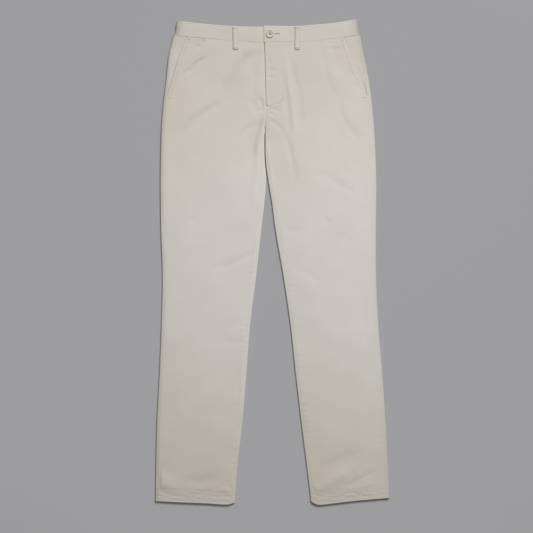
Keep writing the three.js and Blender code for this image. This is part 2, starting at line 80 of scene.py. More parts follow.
# %% Light
LAMP_PLACE = (1.5, 3.2, 3.4)
LAMP_AIM = (0.0, 0.1, 0.0)
LAMP_SIZE = 2.0
LAMP_POWER = 200.0
SKY_STRENGTH = 0.225

lamp_data = bpy.data.lights.new("softbox", "AREA")
lamp_data.shape = "DISK"
lamp_data.size = LAMP_SIZE
lamp_data.energy = LAMP_POWER
lamp = bpy.data.objects.new("softbox", lamp_data)
lamp.location = LAMP_PLACE
lamp_way = Vector(LAMP_AIM) - Vector(LAMP_PLACE)
lamp.rotation_euler = lamp_way.to_track_quat("-Z", "Y").to_euler()
bpy.context.scene.collection.objects.link(lamp)

world = bpy.data.worlds.new("studio")
world.use_nodes = True
sky = world.node_tree.nodes["Background"]
sky.inputs["Strength"].default_value = SKY_STRENGTH
sky.inputs["Color"].default_value = (1.0, 1.0, 1.0, 1.0)
bpy.context.scene.world = world
print("lamp:", LAMP_SIZE, "m wide,", round(lamp_way.length, 1), "m away")

# %% [markdown]
# ## Materials
# A material is a small graph of nodes. It could be built with the mouse in the shader editor, or
# written out line by line, but a helper keeps each node to one call: `add_node` adds a node with
# its settings and links. `linear` turns a hex colour, which is how a screen stores it, into the
# linear light that the shader works in.

# %% Material helpers


def linear(hex_colour):
    """The linear RGBA of an sRGB colour such as "#c8c4b8"."""
    parts = [int(hex_colour[i:i + 2], 16) / 255 for i in (1, 3, 5)]
    light = [c / 12.92 if c <= 0.04045 else ((c + 0.055) / 1.055) ** 2.4 for c in parts]
    return (*light, 1.0)


def add_node(tree, kind, settings=None, links=None):
    """Adds a node, sets its properties or sockets by name, and links its inputs."""
    node = tree.nodes.new("ShaderNode" + kind)
    for name, value in (settings or {}).items():
        if hasattr(node, name) and name not in node.inputs:
            setattr(node, name, value)
        else:
            node.inputs[name].default_value = value
    for name, source in (links or {}).items():
        tree.links.new(source, node.inputs[name])
    return node


def new_material(name, shader):
    """A material whose shader sockets have the given values, with its tree and its shader."""
    material = bpy.data.materials.new(name)
    material.use_nodes = True
    tree = material.node_tree
    principled = tree.nodes["Principled BSDF"]
    for socket, value in shader.items():
        principled.inputs[socket].default_value = value
    return material, tree, principled


print("screen grey #808080 in linear light:", round(linear("#808080")[0], 3))

# %% [markdown]
# ## Cotton twill
# Stone coloured chino cloth is a brushed cotton twill. To the eye that gives a matt surface, a
# faint warm sheen from the loose fibre ends, fine diagonal ribs and slightly uneven yarn. The
# ribs of such cloth are about 0.45 mm apart. That is too fine for the picture, so they are drawn
# at 0.9 mm. A picture of cloth could be wrapped round the pieces, but a pattern made of nodes
# stays sharp at any distance. It reads each piece's own UV map, which holds the place on the
# flat cloth in metres, so the ribs follow the cloth round its folds.

# %% Ribs and yarn of the twill
WAVE_PERIOD = 2 * math.pi / 20  # the wave texture has 20 of its bands in a length of 2 pi
RIB = 0.9 * MM
RIB_ANGLE = math.radians(58)
YARN = 1.1 * MM
YARN_STRETCH = (1, 0.22, 1)


def ribs_and_yarn(tree, place):
    """The fine pattern of the weave: diagonal ribs, and yarn that is long in one direction."""
    turned = add_node(tree, "Mapping", {"Rotation": (0, 0, RIB_ANGLE)}, {"Vector": place.outputs["UV"]})
    ribs = add_node(tree, "TexWave", {
        "wave_type": "BANDS", "bands_direction": "X", "Scale": WAVE_PERIOD / RIB,
        "Distortion": 0.6, "Detail": 1.0, "Detail Scale": 2.0,
    }, {"Vector": turned.outputs["Vector"]})
    drawn = add_node(tree, "Mapping", {"Scale": YARN_STRETCH}, {"Vector": place.outputs["UV"]})
    yarn = add_node(tree, "TexNoise", {"Scale": 1 / YARN, "Detail": 2.0}, {"Vector": drawn.outputs["Vector"]})
    return ribs, yarn


print("ribs every", RIB / MM, "mm")

# %% [markdown]
# ## Dye, painted light and painted shade
# Dye makes the colour of real trousers slightly uneven. Light and shade are painted into the
# colour as well: the thighs and knees are painted a little lighter and cooler than the waist and
# the hems, as a pool of light, and the hollow of a fold, stitching and a folded side are painted
# darker, as shade, also where the light runs along the fold and makes no shadow. Such tones
# could be painted by hand. Here the painted light is a distance on the flat cloth, and each
# sheet carries its painted shade as a value at each point.

# %% Twill material
DYE_PATCH = 55 * MM
DYE_TONES = (0.985, 1.012)
# The pool of painted light on the flat cloth: lighter and cooler near its centre, darker toward the waist and
# the hems.
PAINTED_POOL_CENTRE = (0.0, -0.01, 0.0)
PAINTED_POOL_FROM, PAINTED_POOL_TO = 0.1, 0.6
PAINTED_POOL_TONE = (1.072, 1.097, 1.155, 1.0)
OUTSIDE_POOL_TONE = (0.922, 0.914, 0.905, 1.0)
# The colour that painted shade darkens the cloth toward.
PAINTED_SHADE_HEX = "#5c564c"


def dye_and_painted_light(tree, place, colour):
    """The cloth's colour after uneven dye, with a painted pool of light that makes the knees and thighs
    lighter and cooler.
    """
    dye = add_node(tree, "TexNoise", {"Scale": 1 / DYE_PATCH, "Detail": 2.0}, {"Vector": place.outputs["UV"]})
    patchy = add_node(tree, "MapRange", {
        "From Min": 0.35, "From Max": 0.65, "To Min": DYE_TONES[0], "To Max": DYE_TONES[1],
    }, {"Value": dye.outputs["Fac"]})
    dyed = add_node(tree, "VectorMath", {"operation": "SCALE"}, {0: colour, "Scale": patchy.outputs[0]})
    knee = add_node(tree, "VectorMath", {"operation": "DISTANCE"}, {0: place.outputs["UV"]})
    knee.inputs[1].default_value = PAINTED_POOL_CENTRE
    painted_tone = add_node(tree, "MapRange", {
        "interpolation_type": "SMOOTHSTEP", "From Min": PAINTED_POOL_TO, "From Max": PAINTED_POOL_FROM,
        "To Min": 0.0, "To Max": 1.0,
    }, {"Value": knee.outputs["Value"]})
    tone = add_node(tree, "Mix", {"data_type": "RGBA"}, {"Factor": painted_tone.outputs[0]})
    tone.inputs[6].default_value = OUTSIDE_POOL_TONE
    tone.inputs[7].default_value = PAINTED_POOL_TONE
    wear = add_node(tree, "Mix", {"data_type": "RGBA", "blend_type": "MULTIPLY"},
                    {6: dyed.outputs[0], 7: tone.outputs[2]})
    wear.inputs["Factor"].default_value = 1.0
    return wear.outputs[2]


def twill(name, light_hex, dark_hex):
    """Brushed cotton: high roughness and a weak highlight make it matt, and sheen lifts its edges."""
    material, tree, principled = new_material(name, {
        "Roughness": 0.88,
        "IOR": 1.45,
        "Specular IOR Level": 0.25,
        "Sheen Weight": 0.18,
        "Sheen Roughness": 0.55,
        "Sheen Tint": linear("#f4efe2"),
    })
    place = add_node(tree, "UVMap", {"uv_map": "cloth"})
    ribs, yarn = ribs_and_yarn(tree, place)
    tone = add_node(tree, "Math", {"operation": "MULTIPLY"}, {0: ribs.outputs["Fac"], 1: yarn.outputs["Fac"]})
    colour = add_node(tree, "Mix", {"data_type": "RGBA"}, {"Factor": tone.outputs[0]})
    colour.inputs[6].default_value = linear(dark_hex)
    colour.inputs[7].default_value = linear(light_hex)
    painted_tone = dye_and_painted_light(tree, place, colour.outputs[2])
    # Painted shade from each point's value darkens the colour.
    painted_shade = add_node(tree, "Attribute", {"attribute_name": "painted_shade"})
    painted_shading = add_node(tree, "Mix", {"data_type": "RGBA"}, {"Factor": painted_shade.outputs["Fac"], 6: painted_tone})
    painted_shading.inputs[7].default_value = linear(PAINTED_SHADE_HEX)
    tree.links.new(painted_shading.outputs[2], principled.inputs["Base Color"])
    height = add_node(tree, "Math", {"operation": "ADD"}, {0: ribs.outputs["Fac"], 1: yarn.outputs["Fac"]})
    bump = add_node(tree, "Bump", {"Strength": 0.22, "Distance": 0.12 * MM}, {"Height": height.outputs[0]})
    tree.links.new(bump.outputs["Normal"], principled.inputs["Normal"])
    return material


TWILL = twill("brushed cotton twill", "#e4e0d6", "#d3cec1")
print("cloth material:", TWILL.name)

# %% [markdown]
# ## Thread and button resin
# The seams are sewn with matching spun polyester thread. It is a little glossier than the cloth,
# so each stitch catches the light, and its twisted plies give it fine slanting stripes. The waist
# button is cast polyester resin in a stone colour, polished, which gives a clear highlight over a
# cloudy tone, and it is sewn on with a darker thread. All could share one plain colour, but at
# this size the difference in gloss is what tells them from the cloth.

# %% Thread materials
PLY = 0.35 * MM
SHADED_PLY = 0.82


def thread(name, hex_colour):
    """Twisted polyester: stripes on the object's own coordinates, lighter and darker by turns."""
    material, tree, principled = new_material(name, {
        "Roughness": 0.6, "IOR": 1.5, "Specular IOR Level": 0.4, "Sheen Weight": 0.1,
    })
    place = add_node(tree, "TexCoord")
    twist = add_node(tree, "TexWave", {"Scale": WAVE_PERIOD / PLY, "bands_direction": "DIAGONAL"},
                     {"Vector": place.outputs["Object"]})
    colour = add_node(tree, "Mix", {"data_type": "RGBA"}, {"Factor": twist.outputs["Fac"]})
    colour.inputs[6].default_value = linear(hex_colour)
    colour.inputs[7].default_value = [SHADED_PLY * c for c in linear(hex_colour)[:3]] + [1.0]
    tree.links.new(colour.outputs[2], principled.inputs["Base Color"])
    bump = add_node(tree, "Bump", {"Strength": 0.3, "Distance": 0.05 * MM}, {"Height": twist.outputs["Fac"]})
    tree.links.new(bump.outputs["Normal"], principled.inputs["Normal"])
    return material


SEWING_THREAD = thread("stone polyester thread", "#dcd7c8")
BUTTON_THREAD = thread("brown button thread", "#a28a6e")
print("threads:", SEWING_THREAD.name, "and", BUTTON_THREAD.name)

# %% Button resin
CLOUD = 6 * MM


def resin(name, pale_hex, deep_hex):
    """Polished cast resin: low roughness, a thin clear coat and slow clouds of colour."""
    material, tree, principled = new_material(name, {
        "Roughness": 0.28, "IOR": 1.52, "Coat Weight": 0.15, "Coat Roughness": 0.12,
    })
    place = add_node(tree, "TexCoord")
    cloud = add_node(tree, "TexNoise", {"Scale": 1 / CLOUD, "Detail": 4.0, "Distortion": 1.2},
                     {"Vector": place.outputs["Object"]})
    colour = add_node(tree, "Mix", {"data_type": "RGBA"}, {"Factor": cloud.outputs["Fac"]})
    colour.inputs[6].default_value = linear(pale_hex)
    colour.inputs[7].default_value = linear(deep_hex)
    tree.links.new(colour.outputs[2], principled.inputs["Base Color"])
    bump = add_node(tree, "Bump", {"Strength": 0.05, "Distance": 0.1 * MM}, {"Height": cloud.outputs["Fac"]})
    tree.links.new(bump.outputs["Normal"], principled.inputs["Normal"])
    return material


BUTTON_RESIN = resin("cast stone resin", "#dcd2c6", "#c5b29d")
print("button material:", BUTTON_RESIN.name)

# %% [markdown]
# ## Surface
# The trousers lie on smooth grey paper, matt and with a faint grain. It could be lit by a second
# lamp to look as even as in the picture. Instead the paper itself is a little lighter away from
# the lamp, so that the cloth keeps its one light.

# %% Paper
GRAINS_PER_METRE = 900.0
AWAY_FROM_LAMP = (-0.124, -0.262, 0.0)
PAPER_TONES = (0.885, 1.285)


def grey_paper():
    material, tree, principled = new_material("grey paper", {"Roughness": 0.95, "Specular IOR Level": 0.2})
    place = add_node(tree, "TexCoord")
    grain = add_node(tree, "TexNoise", {"Scale": GRAINS_PER_METRE}, {"Vector": place.outputs["Object"]})
    colour = add_node(tree, "Mix", {"data_type": "RGBA"}, {"Factor": grain.outputs["Fac"]})
    colour.inputs[6].default_value = linear("#a8a8aa")
    colour.inputs[7].default_value = linear("#acacae")
    away = add_node(tree, "VectorMath", {"operation": "DOT_PRODUCT"}, {0: place.outputs["Object"]})
    away.inputs[1].default_value = AWAY_FROM_LAMP
    fade = add_node(tree, "MapRange", {
        "From Min": -0.2, "From Max": 0.2, "To Min": PAPER_TONES[0], "To Max": PAPER_TONES[1],
    }, {"Value": away.outputs["Value"]})
    tone = add_node(tree, "VectorMath", {"operation": "SCALE"},
                    {0: colour.outputs[2], "Scale": fade.outputs[0]})
    tree.links.new(tone.outputs[0], principled.inputs["Base Color"])
    return material


PAPER = grey_paper()
print("surface material:", PAPER.name)

# %% Floor
FLOOR_SIZE = 8.0
FLOOR_GAP = 0.1

bpy.ops.object.select_all(action="DESELECT")
bpy.ops.mesh.primitive_plane_add(size=FLOOR_SIZE, location=(0, 0, -FLOOR_GAP * MM))
floor = bpy.context.object
floor.name = "paper_floor"
bpy.ops.object.transform_apply(location=True)
floor.data.materials.append(PAPER)
print("floor:", FLOOR_SIZE, "m")

# %% [markdown]
# ## The cut
# A pattern cutter works from a few lengths and some drawn curves, and so does this lesson. Y
# runs from the hems, at -524, to the waist seam at 484, and X from the wearer's right leg to the
# left one. Each short table is a line that the cloth follows, as (y, x), or (x, y) for the seams
# that run across. The two halves could be mirrored copies, but trousers laid by hand never lie
# the same on both sides, so each has its own lines.

# %% Layers of cloth
CLOTH = 0.9
SEAM_GAP = 0.06
LAYER_GAP = 0.3
EDGE_HEIGHT = 5.4
PUFF = 0.8
BACK_LIFT = 1.4
BACK_LIFT_FROM_Y, BACK_LIFT_TO_Y = 425, 455
BAND_TOP = 5.9
UNDERLAP_TOP = 5.4
OVERLAP_TOP = 6.9
FACING_TOP = [(362, 4.2), (405, 4.6), (484, 4.6)]
print("height at the folded sides:", EDGE_HEIGHT, "mm")

# %% Places along the garment
HEM_Y, CROTCH_Y, FLY_END_Y, POCKET_END_Y, WAIST_Y, BAND_EDGE_Y = -524, 298, 340, 362, 484, 530
HEM_DEPTH = 26
HEM_BEND_Y = -400
SIDE_SEAM_TURNS_Y = 440
SEAM_REACH_AT_WAIST = 1.8
SIDE_RUN = 4.0
SIDE_SLOPE = 0.5
FLY_UNDERLAP = 10.0
FLY_SHELF_TOP = 4.3
FLY_FLAT_WIDTH = 32.0
FACING_REACH = 15.0
print("from the crotch to the hem:", CROTCH_Y - HEM_Y, "mm")

# %% Lines of the cut
CENTRES = [(298, -16.0), (334, -12.8), (350, -13.4), (484, -16.9), (530, -18.9)]
CROTCH_TURN = [(220, 180), (250, 180), (285, 90), (296, 90), (298, 0)]
CROTCH_ROLL = [(220, 8.0), (250, 2.7)]
CROTCH_VALLEY = [(262, 2.7), (285, 4.5), (298, 6.5), (325, 5.0)]

RIGHT = {
    "name": "right",
    "sign": -1,
    "roll": 6.6,
    "outer": [(-524, -257.0), (-453, -256.3), (-348, -253.7), (-242, -248.2), (-136, -244.0), (-31, -241.8),
              (75, -245.3), (180, -246.4), (286, -244.4), (339, -240.7), (392, -234.1), (444, -227.9),
              (478, -218.5), (499, -212.4), (519, -211.2), (534, -208.0)],
    "inner": [(-524, -82.7), (-453, -77.4), (-348, -65.6), (-242, -57.0), (-136, -48.8), (-31, -35.6),
              (75, -24.0), (128, -17.8), (180, -13.9), (224, -16.9), (260, -17.8), (298, -17.2)],
    "mouth": [(362, 6.6), (425, 19.5), (484, 30.6)],
    "seam": [(-214, 497.3), (-150, 491.3), (-102, 487.0), (-71, 485.3), (-20, 481.1), (12, 481.1)],
    "top": [(-214, 530.6), (-150, 523.3), (-102, 519.2), (-71, 517.6), (-20, 516.6), (12, 516.6)],
    "hem": [(-257, -524.0), (-200, -527.0), (-144, -529.3), (-98, -531.7), (-83, -527.5)],
}
LEFT = {
    "name": "left",
    "sign": 1,
    "roll": 8.2,
    "outer": [(-524, 257.4), (-453, 253.9), (-348, 248.8), (-242, 241.1), (-136, 232.8), (-31, 227.9),
              (75, 227.5), (180, 228.4), (286, 224.2), (339, 219.6), (392, 212.3), (444, 201.1),
              (478, 193.8), (499, 190.0), (519, 188.4), (534, 187.2)],
    "inner": [(-524, 84.5), (-453, 75.9), (-348, 62.9), (-242, 50.6), (-136, 39.2), (-31, 23.8),
              (75, 5.7), (128, -0.9), (180, -9.5), (224, -14.9), (260, -16.0), (298, -15.7)],
    "mouth": [(362, 8.2), (425, 28.5), (484, 35.6)],
    "seam": [(-18.7, 482.6), (47, 484.0), (82, 484.6), (133, 490.7), (187, 497.4)],
    "top": [(-18.7, 519.0), (47, 518.3), (82, 520.4), (133, 524.9), (187, 533.5)],
    "hem": [(83, -521.5), (90, -528.0), (102, -532.3), (133, -529.3), (180, -523.8), (257, -517.0)],
}
print("lines of each half:", len(RIGHT) - 3)

# %% [markdown]
# ## Reading a line
# A line between its points could be a Bezier curve object. A function is simpler here, because
# every sheet asks for the same line at its own rows: `smooth` reads a curve through a table's
# rows, `straight` reads the same rows without rounding, and `ease` goes gently from 0 to 1.

# %% Curves


def smooth(rows, at):
    """A smooth curve through (place, value) rows, read at `at`."""
    key, value = np.array(rows, float).T
    at = np.clip(at, key[0], key[-1])
    slope = np.gradient(value, key)
    slope[1:-1] = (value[2:] - value[:-2]) / (key[2:] - key[:-2])
    i = np.clip(np.searchsorted(key, at, side="right") - 1, 0, len(key) - 2)
    span = key[i + 1] - key[i]
    t = (at - key[i]) / span
    lean = span * t * (1 - t) * (slope[i] * (1 - t) - slope[i + 1] * t)
    return value[i] + (value[i + 1] - value[i]) * t * t * (3 - 2 * t) + lean


def straight(rows, at):
    """The rows joined by straight lines, read at `at`."""
    key, value = np.array(rows, float).T
    return np.interp(at, key, value)


def ease(value, start, end):
    """0 before the start, 1 past the end, and a gentle rise between them."""
    t = np.clip((value - start) / (end - start), 0, 1)
    return t * t * (3 - 2 * t)


def lerp(a, b, t):
    """From a to b as t goes from 0 to 1."""
    return a + (b - a) * t


print("waist across:", round(LEFT["outer"][-1][1] - RIGHT["outer"][-1][1]), "mm")

# %% [markdown]
# ## Where a panel's points lie
# A panel's rows run across the leg. Near the waist and the hem they bend to follow those
# edges. The side seams have rolled a few millimetres onto the front, and the front ends at
# the pocket mouth above them. A flat cut could be wrapped round a form instead, but these
# functions say where every edge is, so neighbouring pieces share it exactly.

# %% Lines of the panels


def bend(side, x, row):
    """A point's real y, from the row that it is in."""
    near_waist = np.maximum(row - CROTCH_Y, 0) / (WAIST_Y - CROTCH_Y)
    near_hem = np.maximum(HEM_BEND_Y - row, 0) / (HEM_BEND_Y - HEM_Y)
    seam = smooth(side["seam"], x) - SEAM_GAP / 2
    hem = smooth(side["hem"], x)
    return row + (seam - WAIST_Y) * near_waist ** 2 + (hem - HEM_Y) * near_hem ** 2


def inner_x(side, row):
    """The folded inner side of a leg, or the centre seam above the crotch."""
    centre = smooth(CENTRES, row) + side["sign"] * SEAM_GAP / 2
    return np.where(row >= CROTCH_Y, centre, smooth(side["inner"], row))


def outseam_reach(side, row):
    """How far in from the leg's outer side the side seam lies."""
    return lerp(side["roll"], SEAM_REACH_AT_WAIST, ease(row, POCKET_END_Y, SIDE_SEAM_TURNS_Y))


def inseam_reach(row):
    """The same for the inseam. At the crotch it has turned down to mid height."""
    turn = straight(CROTCH_TURN, row)
    low = EDGE_HEIGHT / 2 * (1 - np.sin(np.radians(turn)))
    return np.where(row >= CROTCH_Y, 0, np.where(turn < 180, low, straight(CROTCH_ROLL, row)))


def back_lift(row):
    """The back's height above the surface: near the waist the band and loops raise it."""
    return BACK_LIFT * ease(row, BACK_LIFT_FROM_Y, BACK_LIFT_TO_Y)


def front_edges(side, row):
    """The front's outer and inner edge at a row."""
    mouth = np.where(row > POCKET_END_Y, smooth(side["mouth"], row), outseam_reach(side, row))
    inseam = inseam_reach(row) + np.where(row < CROTCH_Y, SEAM_GAP / 2, 0)
    outer = smooth(side["outer"], row) - side["sign"] * (mouth + SEAM_GAP / 2)
    return outer, inner_x(side, row) + side["sign"] * inseam


knee_outer, knee_inner = front_edges(LEFT, 0)
print("left front at the knee:", round(float(knee_outer - knee_inner)), "mm wide")

# %% [markdown]
# ## Folds
# The cloth isn't pressed quite flat. Long soft folds fan out from the crotch, small ones gather
# at the pocket mouths and knees, and short puckers cross the seams where the thread has
# drawn the cloth in. They could be sculpted, or left to a cloth simulation, but neither puts a
# fold where it was seen. Each fold is a row: its height, half width, and the bent line it follows.

# %% Folds
FOLDS = [
    # height, half width, line
    # wearer's right hip, from the fly to the side
    (-1.7, 10, [(-30, 456), (-60, 448), (-76, 430), (-89, 408), (-104, 387), (-110, 366)]),
    (0.7, 12, [(-50, 420), (-45, 385), (-50, 350)]),
    (-1.3, 8, [(-106, 356), (-142, 334), (-177, 310), (-203, 275)]),
    (-1.9, 4.5, [(-146, 450), (-168, 437), (-182, 422), (-204, 410)]),
    (-0.9, 4, [(-194, 486), (-176, 480), (-156, 471)]),
    (-0.9, 9, [(-38, 431), (-43, 389), (-43, 356), (-34, 330)]),
    (-1.3, 4.5, [(-32, 363), (-25, 354), (-22, 345), (-25, 336), (-37, 329)]),
    # crotch, right leg
    (-0.7, 5, [(-40, 304), (-55, 294), (-69, 283), (-85, 262)]),
    (-2.0, 5, [(-20, 314), (-29, 300), (-36, 280), (-41, 255), (-44, 220)]),
    (-0.8, 5, [(-24, 306), (-33, 288), (-39, 262), (-42, 236)]),
    (-0.8, 9, [(-48, 285), (-52, 252), (-50, 218)]),
    (0.9, 7, [(-25, 268), (-32, 224), (-38, 169), (-45, 125)]),
    # crotch, left leg
    (-0.7, 5, [(-8, 311), (6, 305), (20, 292)]),
    (-1.0, 6, [(26, 285), (34, 262), (41, 240), (46, 212), (50, 178)]),
    (0.9, 5, [(27, 449), (33, 411), (39, 367), (44, 325), (46, 290)]),
    (-0.9, 6, [(19, 418), (28, 380), (34, 340), (38, 300), (39, 266)]),
    (-0.7, 6, [(41, 449), (50, 405), (58, 367), (63, 325), (64, 290)]),
    (-1.2, 2.5, [(-12, 423), (4, 422)]),
    (-1.0, 2.5, [(-12, 407), (10, 405)]),
    (-0.6, 4, [(-5, 337), (6, 334), (17, 330)]),
    (-0.6, 3, [(-7, 328), (4, 323)]),
    # wearer's left pocket
    (-1.2, 5, [(124, 470), (142, 469), (158, 474)]),
    (-0.6, 3, [(95, 481), (112, 481)]),
    (-1.1, 3, [(120, 482), (148, 481)]),
    (-0.5, 9, [(111, 466), (116, 431), (122, 396), (142, 363)]),
    (-0.55, 6, [(149, 365), (151, 328), (166, 297), (182, 279), (208, 271)]),
    (-0.5, 4, [(166, 422), (180, 418)]),
    (-0.4, 4, [(175, 392), (191, 387)]),
    # thighs and knees
    (-0.6, 9, [(81, 196), (116, 189), (138, 176), (160, 163), (188, 150)]),
    (-0.4, 6, [(111, 95), (129, 86)]),
    (-0.3, 7, [(26, 70), (63, 70)]),
    (-0.35, 7, [(175, 81), (158, 57), (136, 46)]),
    (-0.5, 9, [(61, -18), (81, -26), (100, -46)]),
    (-0.3, 6, [(-186, 97), (-159, 88)]),
    (-0.9, 7, [(-36, 24), (-62, 10), (-90, -4), (-125, -14)]),
    (-0.45, 7, [(-69, -128), (-102, -143)]),
    (-0.5, 7, [(-62, -172), (-102, -178)]),
    (-0.4, 9, [(-186, -334), (-111, -334)]),
    (-0.3, 6, [(127, -233), (149, -224)]),
    # right hem
    (1.7, 14, [(-252, -466), (-238, -484), (-210, -500)]),
    (0.8, 8, [(-112, -496), (-92, -508)]),
    (0.6, 5, [(-252, -497), (-230, -488), (-212, -466)]),
    (-0.7, 8, [(-194, -477), (-159, -482), (-124, -471)]),
    (0.6, 7, [(-181, -499), (-146, -497), (-111, -488)]),
    (0.5, 5, [(-133, -506), (-102, -499), (-80, -510)]),
    # left hem
    (-0.9, 10, [(105, -456), (130, -442), (165, -428), (196, -418)]),
    (1.9, 12, [(86, -509), (112, -492), (142, -474), (172, -455)]),
    (-1.0, 6, [(158, -494), (192, -477), (234, -454)]),
    (0.4, 5, [(160, -505), (196, -494), (232, -480)]),
]
print("folds:", len(FOLDS))

# %% Height of the folds


def folds(x, y):
    """Height of the folds alone at points of the front."""
    height = np.zeros_like(x)
    for rise, wide, line in FOLDS:
        nearest = np.full_like(x, 1e9)
        along = np.zeros_like(x)
        for i, ((ax, ay), (bx, by)) in enumerate(zip(line, line[1:])):
            dx, dy = bx - ax, by - ay
            t = np.clip(((x - ax) * dx + (y - ay) * dy) / (dx * dx + dy * dy), 0, 1)
            away = np.hypot(x - ax - t * dx, y - ay - t * dy)
            along = np.where(away < nearest, (i + t) / (len(line) - 1), along)
            nearest = np.minimum(nearest, away)
        fade = np.minimum(1, 0.25 + 1.3 * np.sin(np.pi * along))
        height += rise * fade * np.exp(-(nearest / wide) ** 2)
    return height


deep = folds(np.array([-60.0]), np.array([448.0]))
print("deepest fold of the right hip:", round(float(deep[0]), 2), "mm")

# %% [markdown]
# ## Ripples and puckers
# Between the folds the cloth is never level: it has slow ripples a hand wide, which four waves
# in different directions make uneven enough. Along a seam the thread draws the cloth into short
# puckers, which a wave across the seam gives, with its height and spacing drifting. Noise would
# give either a look of its own, but a wave has a length that can be measured.

# %% Ripples and puckers
RIPPLES = [
    # height, wave length, heading in degrees, phase
    (0.30, 170, 35, 0.4),
    (0.18, 118, -28, 1.9),
    (0.09, 74, 68, 3.1),
    (0.05, 47, -52, 0.9),
]


def fold_height(x, y):
    """The folds and the cloth's slow ripples."""
    height = folds(x, y)
    for rise, length, heading, phase in RIPPLES:
        a = math.radians(heading)
        height += rise * np.sin(2 * np.pi * (x * math.cos(a) + y * math.sin(a)) / length + phase)
    return height


def pucker(row, away, length, rise, reach, phase):
    """Short ripples across a seam, uneven in height and spacing."""
    drift = 3.2 * np.sin(row / 23 + phase) + 2.6 * np.sin(row / 61 + 2 * phase)
    strength = 0.5 + 0.5 * np.sin(row / 31 + 3 * phase) * np.sin(row / 83 + phase)
    return rise * strength * np.sin(2 * np.pi * row / length + drift) * np.exp(-(away / reach) ** 2)


print("ripples:", len(RIPPLES), "up to", RIPPLES[0][0], "mm high")

# %% [markdown]
# ## Stitch lines and sewn edges
# A row of stitches presses a shallow groove into cloth, and a sewn edge turns down, so that a
# seam shows as a fine valley. Both could be creased edges of the mesh. As formulas they can
# wander with the cloth. The fly's stitching runs down beside the opening, then curves in like
# the foot of a J.

# %% Stitch lines
FLY_STITCH = 37.5
FLY_CURVE_TOP = 366
FLY_CURVE_DROP = FLY_CURVE_TOP - FLY_END_Y - 4
MOUTH_STITCH = 6.4
HEM_STITCH = 26.0


def fly_curve(row):
    """How far the fly's stitching lies from the centre line. At the curve's foot it comes to 0."""
    drop = np.clip((FLY_CURVE_TOP - row) / FLY_CURVE_DROP, 0, 1)
    return FLY_STITCH * np.sqrt(np.maximum(1 - drop ** 3, 0))


def groove(away, depth=0.3, wide=1.0):
    """A shallow valley at a distance of 0."""
    return -depth * np.exp(-(away / wide) ** 2)


def turned_edge(away, drop, wide=1.0):
    """Cloth that turns down over its last stretch before an edge."""
    return -drop * np.clip(1 - away / wide, 0, 1) ** 2


print("fly stitching:", FLY_STITCH, "mm from the opening")

# %% Seam details of the front


def seam_details(side, x, y, row, from_outer, from_inner):
    """Stitch grooves, puckers and turned edges of the front."""
    below_pocket = ease(row, POCKET_END_Y, POCKET_END_Y - 40)
    calf = lerp(1, 0.35, ease(row, -300, -100))
    shin = lerp(1, 0.15, ease(row, -60, 120))
    drop = np.where(row > POCKET_END_Y, 0.2, 0.08)
    detail = turned_edge(np.abs(from_outer), drop, 1.4) + turned_edge(np.abs(from_inner), 0.1, 1.4)
    detail += groove(from_outer - MOUTH_STITCH, 0.15, 1.1) * (row > POCKET_END_Y)
    detail += pucker(row, from_inner - 8, 12.5, 0.14, 7, 1.0) * ease(row, 350, 380) * (side is LEFT)
    detail += pucker(row, from_outer, 9.5, 0.2, 9, side["sign"]) * below_pocket * calf
    detail += pucker(row, from_inner, 16.5, 0.26, 10, 2.0 + side["sign"]) * shin
    detail += pucker(row, from_outer, 13.0, 0.16, 8, 4.0) * (1 - below_pocket)
    if side is RIGHT:
        opening = ease(x, -214, -208) * ease(-x, 148, 152)
        detail += turned_edge(WAIST_Y - row, 0.6 * opening, 2.0)
    return detail + hem_waves(side, x, y)


def hem_waves(side, x, y):
    """A sewn hem twists a little: three crossing ripples above its edge, and a wandering stitch groove."""
    up = y - smooth(side["hem"], x)
    wander = 4.5 * np.sin(x / 17 + side["sign"]) + 1.6 * np.sin(x / 7.3)
    uneven = 0.55 + 0.45 * np.sin(x / 11 + 2 * side["sign"]) * np.sin(x / 29)
    around = np.sin(2 * np.pi * (up + 1.6 * wander) / 14)
    across = np.sin(x / 13 + side["sign"]) * np.sin(2 * np.pi * (up - 0.7 * wander) / 9 + x / 19)
    slanting = np.sin(x / 37) * np.sin(2 * np.pi * (x + 0.6 * up) / 12 + 2.2 * np.sin(x / 23))
    ripples = 0.34 * uneven * around + 0.22 * across + 0.10 * slanting
    in_hem = np.exp(-((up - 14) / 9) ** 2)
    return ripples * in_hem + groove(up - HEM_STITCH - 0.2 * wander, 0.14 + 0.14 * uneven, 2.0)


waves = hem_waves(LEFT, np.linspace(90, 250, 161), np.full(161, HEM_Y + 12.0))
print("hem ripples:", waves.min().round(2), "to", waves.max().round(2), "mm")

# %% [markdown]
# ## Height of the front
# The front lies 5 to 6 mm above the surface, because four layers of twill with some air between
# them are that thick. It rises where the pocket facing and the fly's layers are under it, and
# sinks in the valley between the legs at the crotch. The height could come from letting cloth
# fall in a simulation, but as a function every other piece can ask for it, and lie on it.

# %% Height of the front
FLY_TOP, FLY_RISE, FLY_RISE_Y = 6.3, 0.45, 420
FLY_BLEND_X = 54
FLY_RIDGE, FLY_RIDGE_X, FLY_RIDGE_WIDTH = 0.3, 3.5, 2.5
SEAM_LEVEL_Y = 462


